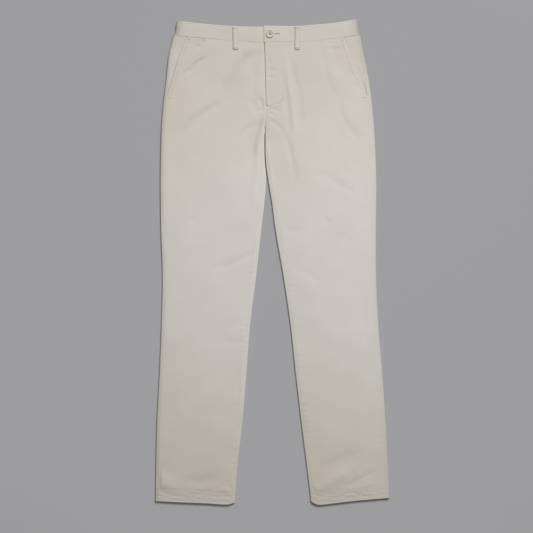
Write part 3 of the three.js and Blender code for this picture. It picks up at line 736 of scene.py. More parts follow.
def front_height(side, x, row):
    """Top of the front at points given by x and row."""
    outer, inner = front_edges(side, row)
    from_outer = side["sign"] * (outer - x)
    from_inner = side["sign"] * (x - inner)
    nearest = np.minimum(from_outer, from_inner)
    crown = ease(nearest, 0, 55)
    y = bend(side, x, row)
    calm = ease(row, HEM_Y, HEM_Y + 30) * ease(-row, -WAIST_Y, -470)
    puff = PUFF * ease(row, HEM_Y, HEM_Y + 30) * lerp(0.4, 1, ease(-row, -WAIST_Y, -400))
    z = EDGE_HEIGHT + crown * puff + calm * ease(nearest, 0, 8) * fold_height(x, y)

    over_facing = straight(FACING_TOP, row) + 2 * LAYER_GAP + CLOTH
    over_facing = lerp(over_facing, BAND_TOP - 0.1, ease(row, SEAM_LEVEL_Y, WAIST_Y))
    z = np.maximum(z, lerp(over_facing, z, ease(from_outer, 8, 40)))
    in_fly = ease(row, FLY_END_Y - 2, FLY_END_Y + 8)
    if side is LEFT:
        fly_top = FLY_TOP + FLY_RISE * ease(row, FLY_RISE_Y, WAIST_Y)
        away = ease(from_inner, FLY_FLAT_WIDTH, FLY_BLEND_X)
        edge_ridge = FLY_RIDGE * np.exp(-((from_inner - FLY_RIDGE_X) / FLY_RIDGE_WIDTH) ** 2)
        z = lerp(z, lerp(fly_top + edge_ridge + 0.35 * fold_height(x, y), z, away), in_fly)
        on_stitch = np.abs(from_inner - fly_curve(row)) / (1 + 3 * ease(-row, -FLY_CURVE_TOP, -FLY_END_Y))
        depth = lerp(0.7, 0.15, ease(row, 352, 372))
        z += groove(on_stitch, depth, 1.3) * ease(row, FLY_END_Y + 1, FLY_END_Y + 4)
    else:
        z = lerp(z, lerp(FLY_SHELF_TOP, z, ease(from_inner, 0.2, 4.5)), in_fly)
    from_side = np.abs(x - inner_x(side, row))
    share = np.clip(1 - from_side / straight(CROTCH_VALLEY, row), 0, 1)
    z -= EDGE_HEIGHT / 2 * ease(row, 325, CROTCH_Y) * (1 - np.sqrt(1 - share ** 2)) * ease(row, 235, 255)
    return z + seam_details(side, x, y, row, from_outer, from_inner)


print("front of the thigh:", round(float(front_height(LEFT, np.float64(110), np.float64(150))), 2), "mm high")

# %% [markdown]
# ## From numbers to cloth
# A sheet of cloth has a width, a length and almost no thickness. It could be made point by point
# with from_pydata, but Blender's grid primitive already has the faces and a UV map. `lay_sheet`
# adds that grid with one point for each place, moves the points, writes the flat cloth into the
# UV map, and lets the Solidify modifier give it thickness, as the modifier stack would by hand.

# %% Modifier helpers
CLOTH_CREASE = math.radians(50)


def only(piece):
    """Selects one object and makes it active, because an operator acts on all that is selected."""
    bpy.ops.object.select_all(action="DESELECT")
    piece.select_set(True)
    bpy.context.view_layer.objects.active = piece


def thicken(piece, thickness):
    """Gives a sheet its thickness, inwards from its face."""
    wall = piece.modifiers.new("cloth wall", "SOLIDIFY")
    wall.thickness = thickness * MM
    wall.offset = -1
    bpy.ops.object.modifier_apply(modifier=wall.name)


def cut_with(piece, cutter, title):
    """Takes the cutter's shape out of a piece, and removes the cutter."""
    only(piece)
    hole = piece.modifiers.new(title, "BOOLEAN")
    hole.operation = "DIFFERENCE"
    hole.solver = "EXACT"
    hole.object = cutter
    bpy.ops.object.modifier_apply(modifier=hole.name)
    bpy.data.objects.remove(cutter)


print("cloth is smooth up to", round(math.degrees(CLOTH_CREASE)), "degrees")

# %% Sheet helper


def lay_sheet(name, x, y, z, thickness, flip=False, painted_shade=0.0):
    """A sheet of cloth from three arrays, rows by columns. `painted_shade` is the shade painted into its
    colour at each point.
    """
    rows, columns = x.shape
    bpy.ops.object.select_all(action="DESELECT")
    bpy.ops.mesh.primitive_grid_add(x_subdivisions=columns - 1, y_subdivisions=rows - 1, size=1)
    piece = bpy.context.object
    piece.name = piece.data.name = name
    places = np.stack([x, y, z], axis=-1).reshape(-1, 3) * MM
    piece.data.vertices.foreach_set("co", places.ravel())
    step = np.hypot(np.diff(x, axis=1), np.diff(z, axis=1))
    across = np.concatenate([np.zeros((rows, 1)), np.cumsum(step, axis=1)], axis=1)
    across += (x[:, columns // 2] - across[:, columns // 2])[:, None]
    flat = np.stack([across, y], axis=-1).reshape(-1, 2) * MM
    corners = np.zeros(len(piece.data.loops), np.int32)
    piece.data.loops.foreach_get("vertex_index", corners)
    uv = piece.data.uv_layers[0]
    uv.name = "cloth"
    uv.data.foreach_set("uv", flat[corners].ravel())
    painted_shading = piece.data.attributes.new("painted_shade", "FLOAT", "POINT")
    painted_shading.data.foreach_set("value", np.broadcast_to(painted_shade, x.shape).ravel().astype(np.float32))
    piece.data.update()
    if flip:
        piece.data.flip_normals()
    only(piece)
    if thickness:
        thicken(piece, thickness)
    bpy.ops.object.shade_smooth_by_angle(angle=CLOTH_CREASE)
    piece.data.materials.append(TWILL)
    print(f"{name}: {len(piece.data.polygons)} faces")
    return piece


def declare(piece, node, width, length, share, with_pieces=()):
    """Every sheet rides on the garment's one body and stands for its solid, which is hidden; the cut's width,
    length and share, and the pieces sewn with it, are not used.
    """
    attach(piece, "root")
    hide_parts(node)


# %% [markdown]
# ## Rows and columns
# Fine shapes need close points: seams, the hem and the foot of the fly's stitching have them a
# millimetre apart. A grid as fine as that all over would be too heavy, so the points lie further
# apart in the middle of a panel.

# %% Rows and columns


def steps(*stretches):
    """Places from short stretches: (start, end, spacing) in turn."""
    places = [np.array([stretches[0][0]], float)]
    for start, end, spacing in stretches:
        count = max(int(round(abs(end - start) / spacing)), 1)
        places.append(np.linspace(start, end, count + 1)[1:])
    return np.concatenate(places)


PANEL_ROWS = steps((HEM_Y, -490, 1.3), (-490, 278, 2.7), (278, CROTCH_Y, 1.6), (CROTCH_Y, FLY_END_Y, 2.1),
                   (FLY_END_Y, 352, 1.0), (352, WAIST_Y - 6, 2.2), (WAIST_Y - 6, WAIST_Y, 1.0))
NEAR_EDGE = np.array([0, 0.35, 0.8, 1.3, 2.0, 2.9, 3.9, 4.9, 5.7, 6.4, 7.1, 7.9, 9.5, 11.5, 14, 17, 20, 24])
NEAR_FLY = np.concatenate([NEAR_EDGE, steps((26, 34, 2.2), (34, 41, 1.0), (41, 52, 2.2))])
MIDDLE_COLUMNS = 46


def front_columns(side):
    """x of every point of a front, rows by columns, from its outer to its inner edge."""
    rows = PANEL_ROWS[:, None]
    outer, inner = front_edges(side, rows)
    near_inner = NEAR_FLY if side is LEFT else NEAR_EDGE
    from_outer = outer - side["sign"] * NEAR_EDGE
    to_inner = inner + side["sign"] * near_inner[::-1]
    middle = np.linspace(0, 1, MIDDLE_COLUMNS + 2)[1:-1]
    between = lerp(from_outer[:, -1:], to_inner[:, :1], middle)
    x = np.concatenate([from_outer, between, to_inner], axis=1)
    if side is RIGHT:
        under = FLY_UNDERLAP * np.clip((rows - FLY_END_Y) / 13, 0, 1)
        x = np.concatenate([x, inner + under * np.array([0.25, 0.6, 1.0]) + [0.02, 0.04, 0.06]], axis=1)
    return x


print("rows of a panel:", len(PANEL_ROWS))

# %% [markdown]
# ## Painted shade
# Shade is painted into the cloth's colour in the hollow of a fold, along stitching, over the coin
# pocket's opening and along a folded side. It could be a texture painted on the model. A value
# at each point is enough, because these tones are soft and follow the same lines as the shapes.

# %% Painted shade of the fronts
FOLD_SHADE = 0.035
RIM_SHADE, RIM_REACH = 0.17, 5.0
HIP_RIM_SHADE = 0.13
BAND_RIM_SHADE, BAND_RIM_REACH = 0.5, 7.5
MOUTH_STITCH_SHADE, FLY_STITCH_SHADE, OPENING_SHADE = 0.05, 0.13, 0.1


def rim_shade(side, x, row, depth=RIM_SHADE, reach=RIM_REACH):
    """Painted shade, darkest along a folded side and less and less further in."""
    if side is RIGHT:
        depth = depth + HIP_RIM_SHADE * ease(row, 80, 150) * ease(-row, -390, -350)
    return depth * np.exp(-np.abs(x - smooth(side["outer"], row)) / reach)


def front_shade(side, x, row):
    """Painted shade: in the hollow of a fold, along the stitching, over the coin pocket's opening and along
    the folded side.
    """
    outer, inner = front_edges(side, row)
    hollow = FOLD_SHADE * np.clip(-folds(x, bend(side, x, row)), -0.3, 3)
    from_outer, from_inner = side["sign"] * (outer - x), side["sign"] * (x - inner)
    stitch = MOUTH_STITCH_SHADE * np.exp(-((from_outer - MOUTH_STITCH) / 1.4) ** 2) * (row > POCKET_END_Y)
    if side is LEFT:
        curve = np.exp(-((from_inner - fly_curve(row)) / 2.2) ** 2)
        stitch = stitch + curve * lerp(FLY_STITCH_SHADE, 0.02, ease(row, 355, 372)) * (row > FLY_END_Y + 2)
    else:
        opening = ease(x, -192, -184) * ease(-x, 144, 150)
        stitch = stitch + OPENING_SHADE * opening * np.exp(-((WAIST_Y - row) / 7) ** 2)
    return np.maximum(hollow + stitch, 0) + rim_shade(side, x, row)


print("nap at the band's ends:", BAND_RIM_SHADE, "and at the legs' sides:", RIM_SHADE)

# %% [markdown]
# ## Front panels
# Two pieces, each cut in one with its leg. The wearer's left front laps over the right one along
# the fly, and the right one ends in a lower shelf under it. One sheet for both would be simpler,
# but it would have no fly opening and no seam at the crotch.

# %% Front panels
FRONT_LENGTH = WAIST_Y - HEM_Y + 6
SHELF_COLUMNS = 3


def front_panel(side):
    """A front from hem to waist. The right one's last columns are its shelf under the fly."""
    x = front_columns(side)
    rows = np.broadcast_to(PANEL_ROWS[:, None], x.shape)
    z = front_height(side, x, rows)
    if side is RIGHT:
        last = z[:, [-1 - SHELF_COLUMNS]]
        z[:, -SHELF_COLUMNS:] = np.minimum(z[:, -SHELF_COLUMNS:], last)
    return lay_sheet(f"front_panel_{side['name']}", x, bend(side, x, rows), z, CLOTH,
                     flip=side is LEFT, painted_shade=front_shade(side, x, rows))


front_panels = {side["name"]: front_panel(side) for side in (RIGHT, LEFT)}

# %% [markdown]
# ## The rolled sides
# Each leg is a tube pressed flat, and its seams lie on top, a few millimetres in. So the back
# panel lies on the surface, rolls up round both folded sides and comes over the top to the
# seams. A flat back with a bevelled edge would look the same from above, but not from the side.
# `curl` unrolls that path: floor, half a turn, and a short run on top.

# %% Curl


def curl(t, lift, turn, reach):
    """Distance in from the side, and height, at a share t of the way from the floor to the wall's end."""
    radius = (EDGE_HEIGHT - lift) / 2
    whole = turn >= 179.9
    run = np.where(whole, np.maximum(reach - radius, 0), 0)
    short = np.where(whole, np.arcsin(np.clip((radius - reach) / radius, 0, 1)), 0)
    angle = np.radians(np.minimum(turn, 180)) - short
    centre = radius * np.sin(np.radians(np.minimum(turn, 90)))
    along = t * (SIDE_RUN + radius * angle + run) - SIDE_RUN
    a = np.clip(along / radius, 0, angle)
    inward = centre - radius * np.sin(a) - np.minimum(along, 0) + np.maximum(along - radius * angle, 0)
    return inward, lift + radius * (1 - np.cos(a)), a


curl_x, curl_z, _ = curl(np.array([0.0, 1.0]), 0.0, 180.0, LEFT["roll"])
print("a rolled side goes from", curl_z[0].round(1), "to", curl_z[1].round(1), "mm high")

# %% Folded sides of the back


def curled_side(side, rows, t, inner):
    """A folded side of the back, with its puckers, as x and z."""
    lift = back_lift(rows)
    if inner:
        turn, reach = straight(CROTCH_TURN, rows), inseam_reach(rows) - SEAM_GAP / 2
        edge, way = inner_x(side, rows), side["sign"]
    else:
        turn, reach = np.full_like(rows, 180), outseam_reach(side, rows) - SEAM_GAP / 2
        edge, way = smooth(side["outer"], rows), -side["sign"]
    inward, z, a = curl(t, lift, turn, reach)
    from_seam = np.abs(reach - inward)
    over = np.clip((inward - EDGE_HEIGHT / 2) / np.maximum(reach - EDGE_HEIGHT / 2, 0.1), 0, 1)
    z = z - SIDE_SLOPE * ease(a, 1.5, 3.1) * (1 - over) * (turn > 179)
    upper = ease(a, 1.2, 2.6)
    if inner:
        quiet = lerp(1, 0.15, ease(rows, -60, 120))
        swell = pucker(rows, from_seam, 16.5, 0.26, 9, 2.0 + side["sign"]) * upper * quiet
    else:
        quiet = lerp(1, 0.35, ease(rows, -300, -100))
        swell = pucker(rows, from_seam, 9.5, 0.2, 9, side["sign"]) * upper * quiet
    swell += turned_edge(from_seam, 0.08, 1.4) * upper * (turn > 100)
    inward = inward - swell * np.sin(a)
    return edge + way * inward, z - swell * np.cos(a)


curl_x, curl_z = curled_side(RIGHT, np.array([0.0]), np.array([1.0]), inner=True)
print("right inseam at the knee: x", curl_x[0].round(1), "mm")

# %% [markdown]
# ## Back panels
# The backs carry the centre back seam, and shallow creases where the cloth lies on the surface.
# Their rows are every second one of the front's, so both follow the same seams. A back could be
# one wide sheet for both legs, but the two are cut apart, and each has its own rolls.

# %% Back panels
CURL_STEPS = 23
FLOOR_COLUMNS = 42


def back_crease(x, y):
    """Shallow creases of the side that lies on the surface, as hollows under it."""
    return np.clip(0.5 * fold_height(-x - 30, y) - 0.1, 0, 0.8)


def back_panel(side):
    """A back: its rolled outer side, the part on the surface, and its rolled inner side."""
    rows = np.unique(np.concatenate([PANEL_ROWS[::2], PANEL_ROWS[-1:]]))[:, None]
    side_rows = np.repeat(rows, CURL_STEPS, axis=1)
    turns = np.broadcast_to(np.linspace(0, 1, CURL_STEPS), side_rows.shape)
    outer_x, outer_z = curled_side(side, side_rows, 1 - turns, inner=False)
    inner_side, inner_z = curled_side(side, side_rows, turns, inner=True)
    share = np.linspace(0, 1, FLOOR_COLUMNS + 2)[None, 1:-1]
    floor_x = lerp(outer_x[:, -1:], inner_side[:, :1], share)
    flat_rows = np.broadcast_to(rows, floor_x.shape)
    calm = np.sin(np.pi * share) ** 0.5 * ease(rows, -500, -440) * ease(-rows, -440, -400)
    floor_z = back_lift(flat_rows) + calm * back_crease(floor_x, flat_rows)
    x = np.concatenate([outer_x, floor_x, inner_side], axis=1)
    z = np.concatenate([outer_z, floor_z, inner_z], axis=1)
    y = bend(side, x, np.broadcast_to(rows, x.shape))
    # Shade is painted along the outer folded side.
    rim = rim_shade(side, x, rows)
    return lay_sheet(f"back_panel_{side['name']}", x, y, z, CLOTH, flip=side is RIGHT, painted_shade=rim)


back_panels = {side["name"]: back_panel(side) for side in (RIGHT, LEFT)}

# %% [markdown]
# ## Pocket facings
# Behind each slanted mouth lies a facing of the same cloth, sewn into the side seam. It is all
# that shows of the pocket. The mouth could be a dark line painted on one large front, but a
# separate facing lets it have a real edge, with its own small shadow. The right pocket gapes a
# little more than the left one.

# %% Pocket facings
FACING_CLOTH = 0.8
FACING_RIM_SHADE, FACING_RIM_REACH = 0.36, 4.2
MOUTH_SHADE = 0.06
RIGHT_GAPE, LEFT_GAPE = 1.0, 0.4


def pocket_facing(side):
    """A facing from the side seam to a little past the mouth, lower where the front covers it."""
    rows = steps((POCKET_END_Y, WAIST_Y, 2.4))[:, None]
    from_side = outseam_reach(side, rows) + SEAM_GAP / 2
    reach = smooth(side["mouth"], rows) + FACING_REACH
    near = np.array([0, 0.4, 0.9, 1.4, 2.2, 3.2])
    far = np.linspace(0, 1, 22)[None, :]
    inward = np.concatenate([from_side + near, lerp(from_side + 4.4, reach, far)], axis=1)
    x = smooth(side["outer"], rows) - side["sign"] * inward
    flat_rows = np.broadcast_to(rows, x.shape)
    mouth = smooth(side["mouth"], rows)
    hidden = ease(inward, from_side, np.maximum(mouth - 0.5, from_side + 2))
    depth = lerp(RIGHT_GAPE if side is RIGHT else LEFT_GAPE, 0.2, ease(rows, 455, 480))
    z = lerp(EDGE_HEIGHT - 0.3, straight(FACING_TOP, flat_rows) - depth, hidden)
    z = lerp(z, EDGE_HEIGHT - 0.2, ease(rows, SEAM_LEVEL_Y, WAIST_Y) * ease(-inward, -mouth + 1, -mouth + 5))
    z = z + 0.12 * np.sin(flat_rows / 9 + inward / 7) * ease(inward, 4, 12)
    y = bend(side, x, flat_rows)
    # Shade is painted along the facing's folded side, and a painted shadow lies under the mouth's edge.
    painted_tone = rim_shade(side, x, rows, FACING_RIM_SHADE, FACING_RIM_REACH)
    under_mouth = MOUTH_SHADE * np.exp(-((inward - mouth) / 2.2) ** 2)
    return lay_sheet(f"pocket_facing_sheet_{side['name']}", x, y, z, FACING_CLOTH,
                     flip=side is LEFT, painted_shade=under_mouth + painted_tone)


pocket_facings = {side["name"]: pocket_facing(side) for side in (RIGHT, LEFT)}

# %% [markdown]
# ## Hems
# The leg's end is folded inside and sewn 26 mm up. On the real trousers it is the same cloth as
# the leg, but a sheet of the grid kind can't turn inside itself all round. So the turn-up is a
# flattened ring inside the leg, and its lower edge rolls out round the cut edge of the panels,
# as the folded cloth does. Its ends are welded, which closes the ring.

# %% Hem turn-ups
HEM_CLOTH = 0.45
HEM_INSET = CLOTH + 0.55
HEM_TURNS = 19
HEM_COLUMNS = 30
HEM_PROFILE = [
    # up from the hem edge, inset from the leg's outside
    (26.0, HEM_INSET), (20.0, HEM_INSET), (12.0, HEM_INSET), (5.0, HEM_INSET), (1.0, HEM_INSET),
    (-0.3, HEM_INSET - 0.1), (-0.9, 0.9), (-1.0, 0.45), (-0.7, 0.12), (-0.1, 0.0), (0.6, 0.0),
]


def hem_turnup(side):
    """The cloth turned up inside a leg's end, as a ring: outer side, top, inner side, bottom."""
    turns = np.linspace(0, 1, HEM_TURNS)
    up = np.array([row[0] for row in HEM_PROFILE])[:, None]
    inset = np.array([row[1] for row in HEM_PROFILE])[:, None]
    rows = HEM_Y + np.clip(up, 0, None)
    inward, z, a = curl(turns[None, :], 0.0, 180.0, EDGE_HEIGHT / 2 + SIDE_RUN)
    inward, z = inward + inset * np.sin(a), z + inset * np.cos(a)
    outer = smooth(side["outer"], rows) - side["sign"] * inward
    inner = inner_x(side, rows) + side["sign"] * inward
    share = np.linspace(0, 1, HEM_COLUMNS + 2)[None, 1:-1]
    top = lerp(outer[:, -1:], inner[:, -1:], share)
    bottom = lerp(inner[:, :1], outer[:, :1], share)
    x = np.concatenate([outer, top, inner[:, ::-1], bottom, outer[:, :1]], axis=1)
    high = np.broadcast_to(z[:, -1:], top.shape)
    low = np.broadcast_to(z[:, :1], bottom.shape)
    z = np.concatenate([z, high, z[:, ::-1], low, z[:, :1]], axis=1)
    y = bend(side, x, np.broadcast_to(rows, x.shape)) + np.minimum(up, 0)
    piece = lay_sheet(f"hem_fold_{side['name']}", x, y, z, 0.0, flip=side is RIGHT)
    only(piece)
    bpy.ops.object.mode_set(mode="EDIT")
    bpy.ops.mesh.select_all(action="SELECT")
    bpy.ops.mesh.remove_doubles(threshold=0.01 * MM)
    bpy.ops.object.mode_set(mode="OBJECT")
    thicken(piece, HEM_CLOTH)
    return piece


hem_folds = {side["name"]: hem_turnup(side) for side in (RIGHT, LEFT)}

# %% [markdown]
# ## Waistband
# The band is a folded strip with stiffening, so it is thicker than the panels and lies flatter.
# Each half runs from the centre back round the side to the front, and the left half ends on top
# of the right half's underlap. The band could be one ring, but on the real one the two plies
# meet at the centre back, and the front ends lap, so each half is a sheet of its own.

# %% Height of the band
BAND_CLOTH = 1.3
BAND_DEPTH = 35


def band_height(side, x):
    """Top of the band in front: lower where it is the underlap, and higher where it laps over."""
    if side is RIGHT:
        return lerp(BAND_TOP, UNDERLAP_TOP, ease(x, -32, -21))
    return lerp(OVERLAP_TOP, BAND_TOP, ease(x, 15, 40))


def band_rows(side, x, share):
    """y on the band at a share of its height, from its seam to its top edge."""
    return lerp(smooth(side["seam"], x) + SEAM_GAP / 2, smooth(side["top"], x), share)


def band_relief(x, share, sign):
    """Turned edges, a faint line of stitching near both edges, and slow unevenness."""
    height = share * BAND_DEPTH
    relief = turned_edge(height, 0.35, 1.2) + turned_edge(BAND_DEPTH - height, 0.8, 1.6)
    relief = relief + groove(height - 31.0, 0.22, 1.1)
    relief = relief + groove(x + 31, 0.15, 1.3) + groove(x - 37, 0.12, 1.5)
    return relief + 0.10 * np.sin(x / 13 + sign) * np.sin(height / 6) + 0.08 * np.sin(x / 29 + height / 9)


print("band:", BAND_DEPTH, "mm deep")

# %% Waistband
UNDERLAP_END_X, OVERLAP_END_X = 12.0, -18.7
BAND_STEPS, BAND_TURNS, BAND_BACK_STEPS = 96, 17, 60
BAND_SIDE_SLOPE = 0.9


def waistband(side):
    """Half a waistband: its end, the front, the turn round the side, and the back."""
    end = UNDERLAP_END_X if side is RIGHT else OVERLAP_END_X
    share = steps((0, 0.06, 0.012), (0.06, 0.86, 0.05), (0.86, 0.95, 0.02), (0.95, 1, 0.012))[:, None]
    row = lerp(WAIST_Y, BAND_EDGE_Y, share)
    radius = (BAND_TOP - BACK_LIFT) / 2
    turn_x = smooth(side["outer"], row) - side["sign"] * radius
    near_end = np.array([0, 0.3, 0.8, 1.4, 2.2, 3.5])
    from_end = end + side["sign"] * near_end * np.ones_like(share)
    front = lerp(from_end[:, -1:], turn_x, np.linspace(0, 1, BAND_STEPS)[None, 1:])
    x = np.concatenate([from_end, front], axis=1)
    z = band_height(side, x) + band_relief(x, share, side["sign"]) * ease(np.abs(turn_x - x), 0, 4)
    z += turned_edge(np.abs(x - end), 0.5, 1.2) - BAND_SIDE_SLOPE * (1 - ease(np.abs(turn_x - x), 0, 9))
    angle = np.linspace(0, np.pi, BAND_TURNS)[None, 1:]
    side_x = turn_x + side["sign"] * radius * np.sin(angle)
    side_z = BACK_LIFT + (radius - BAND_SIDE_SLOPE / 2) * (1 + np.cos(angle)) * np.ones_like(share)
    centre = smooth(CENTRES, row) + side["sign"] * SEAM_GAP / 2
    back_x = lerp(turn_x, centre, np.linspace(0, 1, BAND_BACK_STEPS)[None, 1:])
    back_z = BACK_LIFT - band_relief(back_x, share, -side["sign"]) * ease(np.abs(turn_x - back_x), 0, 4)
    x = np.concatenate([x, side_x, back_x], axis=1)
    z = np.concatenate([z, side_z, back_z], axis=1)
    y = band_rows(side, x, share)
    # Shade is painted where the band rolls round the sides, darkest at its ends.
    rim = rim_shade(side, x, row, BAND_RIM_SHADE, BAND_RIM_REACH)
    return lay_sheet(f"waistband_half_{side['name']}", x, y, z, BAND_CLOTH,
                     flip=side is RIGHT, painted_shade=rim)


bands = {side["name"]: waistband(side) for side in (RIGHT, LEFT)}

# %% [markdown]
# ## Buttonhole
# A buttonhole is sewn first and then cut open between its stitches, from under the button to the
# band's middle. A dark line would look alike from above. Cut with the Boolean modifier it is a
# real slit, as the real one is: the cutter is a cylinder whose two halves are moved apart.

# %% Buttonhole
BUTTON_X, BUTTON_Y, BUTTON_RADIUS = -5.3, 501.2, 8.5
BUTTONHOLE_START, BUTTONHOLE_END = BUTTON_X - 2.0, 16.7
BUTTONHOLE_WIDTH = 0.8


def cut_buttonhole(band):
    half = BUTTONHOLE_WIDTH / 2
    bpy.ops.object.select_all(action="DESELECT")
    bpy.ops.mesh.primitive_cylinder_add(vertices=24, radius=half * MM, depth=6 * MM,
                                        location=(0, BUTTON_Y * MM, 6.6 * MM))
    cutter = bpy.context.object
    bpy.ops.object.transform_apply(location=True)
    for vertex in cutter.data.vertices:
        end = BUTTONHOLE_END - half if vertex.co.x > 0 else BUTTONHOLE_START + half
        vertex.co.x += end * MM
    cut_with(band, cutter, "buttonhole")


cut_buttonhole(bands["left"])
print("buttonhole:", round(BUTTONHOLE_END - BUTTONHOLE_START, 1), "mm long")

# %% [markdown]
# ## Belt loops
# A loop is a narrow strip folded in three, so it is firm, with two rows of stitches. Its ends
# are tucked under and sewn down at the band's top edge and below the waist seam. A bevelled box
# would do from far off. As a sheet with a profile along its length, it is thick where the ends
# are tucked under and stands off the band between them. All five come from one function.

# %% Shape of a belt loop
LOOP_WIDTH = 12.0
LOOP_BOTTOM_Y = 466.4
LOOP_TACK_Y = LOOP_BOTTOM_Y + 4
LOOP_ROW = 4.2
LOOP_PROFILE = [
    # share of its length, rise, thickness at the front
    (0, -0.4, 1.1), (0.012, -0.1, 1.4), (0.03, 0, 1.6), (0.13, 0, 1.6), (0.2, 0.2, 1.2), (0.35, 0.35, 1.0),
    (0.5, 0.4, 1.0), (0.65, 0.35, 1.0), (0.8, 0.2, 1.2), (0.87, 0, 1.6), (0.97, 0, 1.6), (0.988, -0.1, 1.4),
    (1, -0.4, 1.1),
]


def loop_line(side, x_centre, share):
    """A loop's middle line at a share of its length: x, y, rise and thickness."""
    place, rise, thick = np.array(LOOP_PROFILE, float).T
    top = float(smooth(side["top"], x_centre)) - 0.4
    x = x_centre + 0.25 * np.sin(share * 5 + x_centre)
    return x, lerp(LOOP_BOTTOM_Y, top, share), np.interp(share, place, rise), np.interp(share, place, thick)


def under_loop(side, x_centre):
    """Height of the cloth under a front loop's lower and upper end."""
    low = front_height(side, np.float64(x_centre), np.float64(LOOP_TACK_Y))
    return float(low), float(band_height(side, x_centre))


print("belt loops:", LOOP_WIDTH, "mm wide")

# %% Belt loops


def belt_loop(name, side, x_centre, front):
    """A loop on the front, or a flatter one that the garment lies on."""
    share = np.linspace(0, 1, 60)[:, None]
    middle, y, rise, thick = loop_line(side, x_centre, share)
    edge_places = LOOP_WIDTH / 2 - np.array([1.5, 0.9, 0.4, 0.1, 0.0])
    across = np.concatenate([-edge_places[::-1], np.linspace(-3.8, 3.8, 11), edge_places])[None, :]
    crown = 0.25 * (1 - (across / 6) ** 2) + groove(np.abs(across) - LOOP_ROW, 0.3, 0.7)
    edge = -0.9 * np.clip((np.abs(across) - 4.7) / 1.3, 0, 1) ** 2
    if front:
        z = lerp(*under_loop(side, x_centre), share) + LAYER_GAP + rise + thick + crown + edge
    else:
        z = -(crown + edge) * 0.5 + 0.13 - 0.25 * np.minimum(rise, 0)
    # Shade is painted along both edges of the loop, where they turn down.
    turned = 0.22 * np.exp(-((np.abs(across) - 5.3) / 0.8) ** 2)
    return lay_sheet(name, middle + across, y + 0 * across, z, CLOTH, flip=not front, painted_shade=turned)


LOOPS = {
    # node: half of the garment, centre, on the front
    "belt_loop_front_right": (RIGHT, -81, True),
    "belt_loop_front_left": (LEFT, 55, True),
    "belt_loop_back_right": (RIGHT, -111, False),
    "belt_loop_back_centre": (RIGHT, -17, False),
    "belt_loop_back_left": (LEFT, 79, False),
}
loops = {node: belt_loop(node.replace("belt_", ""), *row) for node, row in LOOPS.items()}

# %% [markdown]
# ## Button
# A cast button is turned on a lathe and drilled. It could be spun from a profile. Here it is
# modelled as it would be by hand, which shows each step: a cylinder whose top face is inset for
# the rim, inset again and pushed down for the dish, bevelled, and drilled with four cylinders.

# %% Button helpers
BUTTON_THICK = 2.3
BUTTON_Z = OVERLAP_TOP + LAYER_GAP
DISH = 0.75
BUTTON_INSETS = [
    # width of the ring, depth of the step
    (1.7, 0.0),
    (0.7, -DISH),
    (2.6, 0.0),
]
HOLE_RADIUS, HOLE_REACH = 0.85, 1.8
CORNERS = [(-1, -1), (1, -1), (1, 1), (-1, 1)]


def inset_top(button, thickness, depth):
    """Insets the highest face that has more than four corners, which is the middle of the top."""
    bpy.ops.object.mode_set(mode="EDIT")
    bpy.ops.mesh.select_mode(type="FACE")
    bpy.ops.mesh.select_all(action="DESELECT")
    bpy.ops.object.mode_set(mode="OBJECT")
    top = max(button.data.polygons, key=lambda face: (len(face.vertices) > 4, face.center.z))
    top.select = True
    bpy.ops.object.mode_set(mode="EDIT")
    bpy.ops.mesh.inset(thickness=thickness * MM, depth=depth * MM)
    bpy.ops.object.mode_set(mode="OBJECT")


def drill(button, x, y):
    """One hole right through the button."""
    bpy.ops.object.select_all(action="DESELECT")
    bpy.ops.mesh.primitive_cylinder_add(vertices=20, radius=HOLE_RADIUS * MM, depth=4 * BUTTON_THICK * MM,
                                        location=(x * MM, y * MM, BUTTON_Z * MM))
    bit = bpy.context.object
    bpy.ops.object.transform_apply(location=True)
    cut_with(button, bit, "hole")


print("holes:", len(CORNERS), "of", 2 * HOLE_RADIUS, "mm")

# %% Button


def make_button():
    bpy.ops.object.select_all(action="DESELECT")
    middle = (BUTTON_X * MM, BUTTON_Y * MM, (BUTTON_Z + BUTTON_THICK / 2) * MM)
    bpy.ops.mesh.primitive_cylinder_add(vertices=64, radius=BUTTON_RADIUS * MM, depth=BUTTON_THICK * MM,
                                        location=middle)
    button = bpy.context.object
    button.name = button.data.name = "waist_button"
    bpy.ops.object.transform_apply(location=True)
    for thickness, depth in BUTTON_INSETS:
        inset_top(button, thickness, depth)
    soften = button.modifiers.new("soft edges", "BEVEL")
    soften.width = 0.45 * MM
    soften.segments = 3
    soften.limit_method = "ANGLE"
    bpy.ops.object.modifier_apply(modifier=soften.name)
    for across, up in CORNERS:
        drill(button, BUTTON_X + across * HOLE_REACH, BUTTON_Y + up * HOLE_REACH)
    only(button)
    bpy.ops.object.shade_smooth_by_angle(angle=math.radians(35))
    button.data.materials.clear()
    button.data.materials.append(BUTTON_RESIN)
    return button


button = make_button()
print("button:", len(button.data.polygons), "faces")

# %% [markdown]
# ## Stitches
# A stitch is a short, slightly flattened bead of thread that dips into the cloth at both ends. A
# dashed line in the material would do at a distance, but real beads catch the light and throw
# small shadows. One is modelled from a sphere, and `sew` copies it along a line, in one mesh for
# each seam, at the height of the cloth under it.

# %% One stitch
STITCH_LENGTH = 2.5
STITCH_PITCH = 3.2
THREAD_WIDTH = 0.62
THREAD_HEIGHT = 0.42

bpy.ops.object.select_all(action="DESELECT")
bpy.ops.mesh.primitive_uv_sphere_add(segments=6, ring_count=4, radius=0.5, rotation=(0, math.pi / 2, 0))
bead = bpy.context.object
bpy.ops.object.transform_apply(rotation=True)
BEAD_POINTS = np.array([v.co for v in bead.data.vertices])
BEAD_FACES = [tuple(f.vertices) for f in bead.data.polygons]
bpy.data.objects.remove(bead)
print("a stitch has", len(BEAD_FACES), "faces")

# %% Sewing helpers


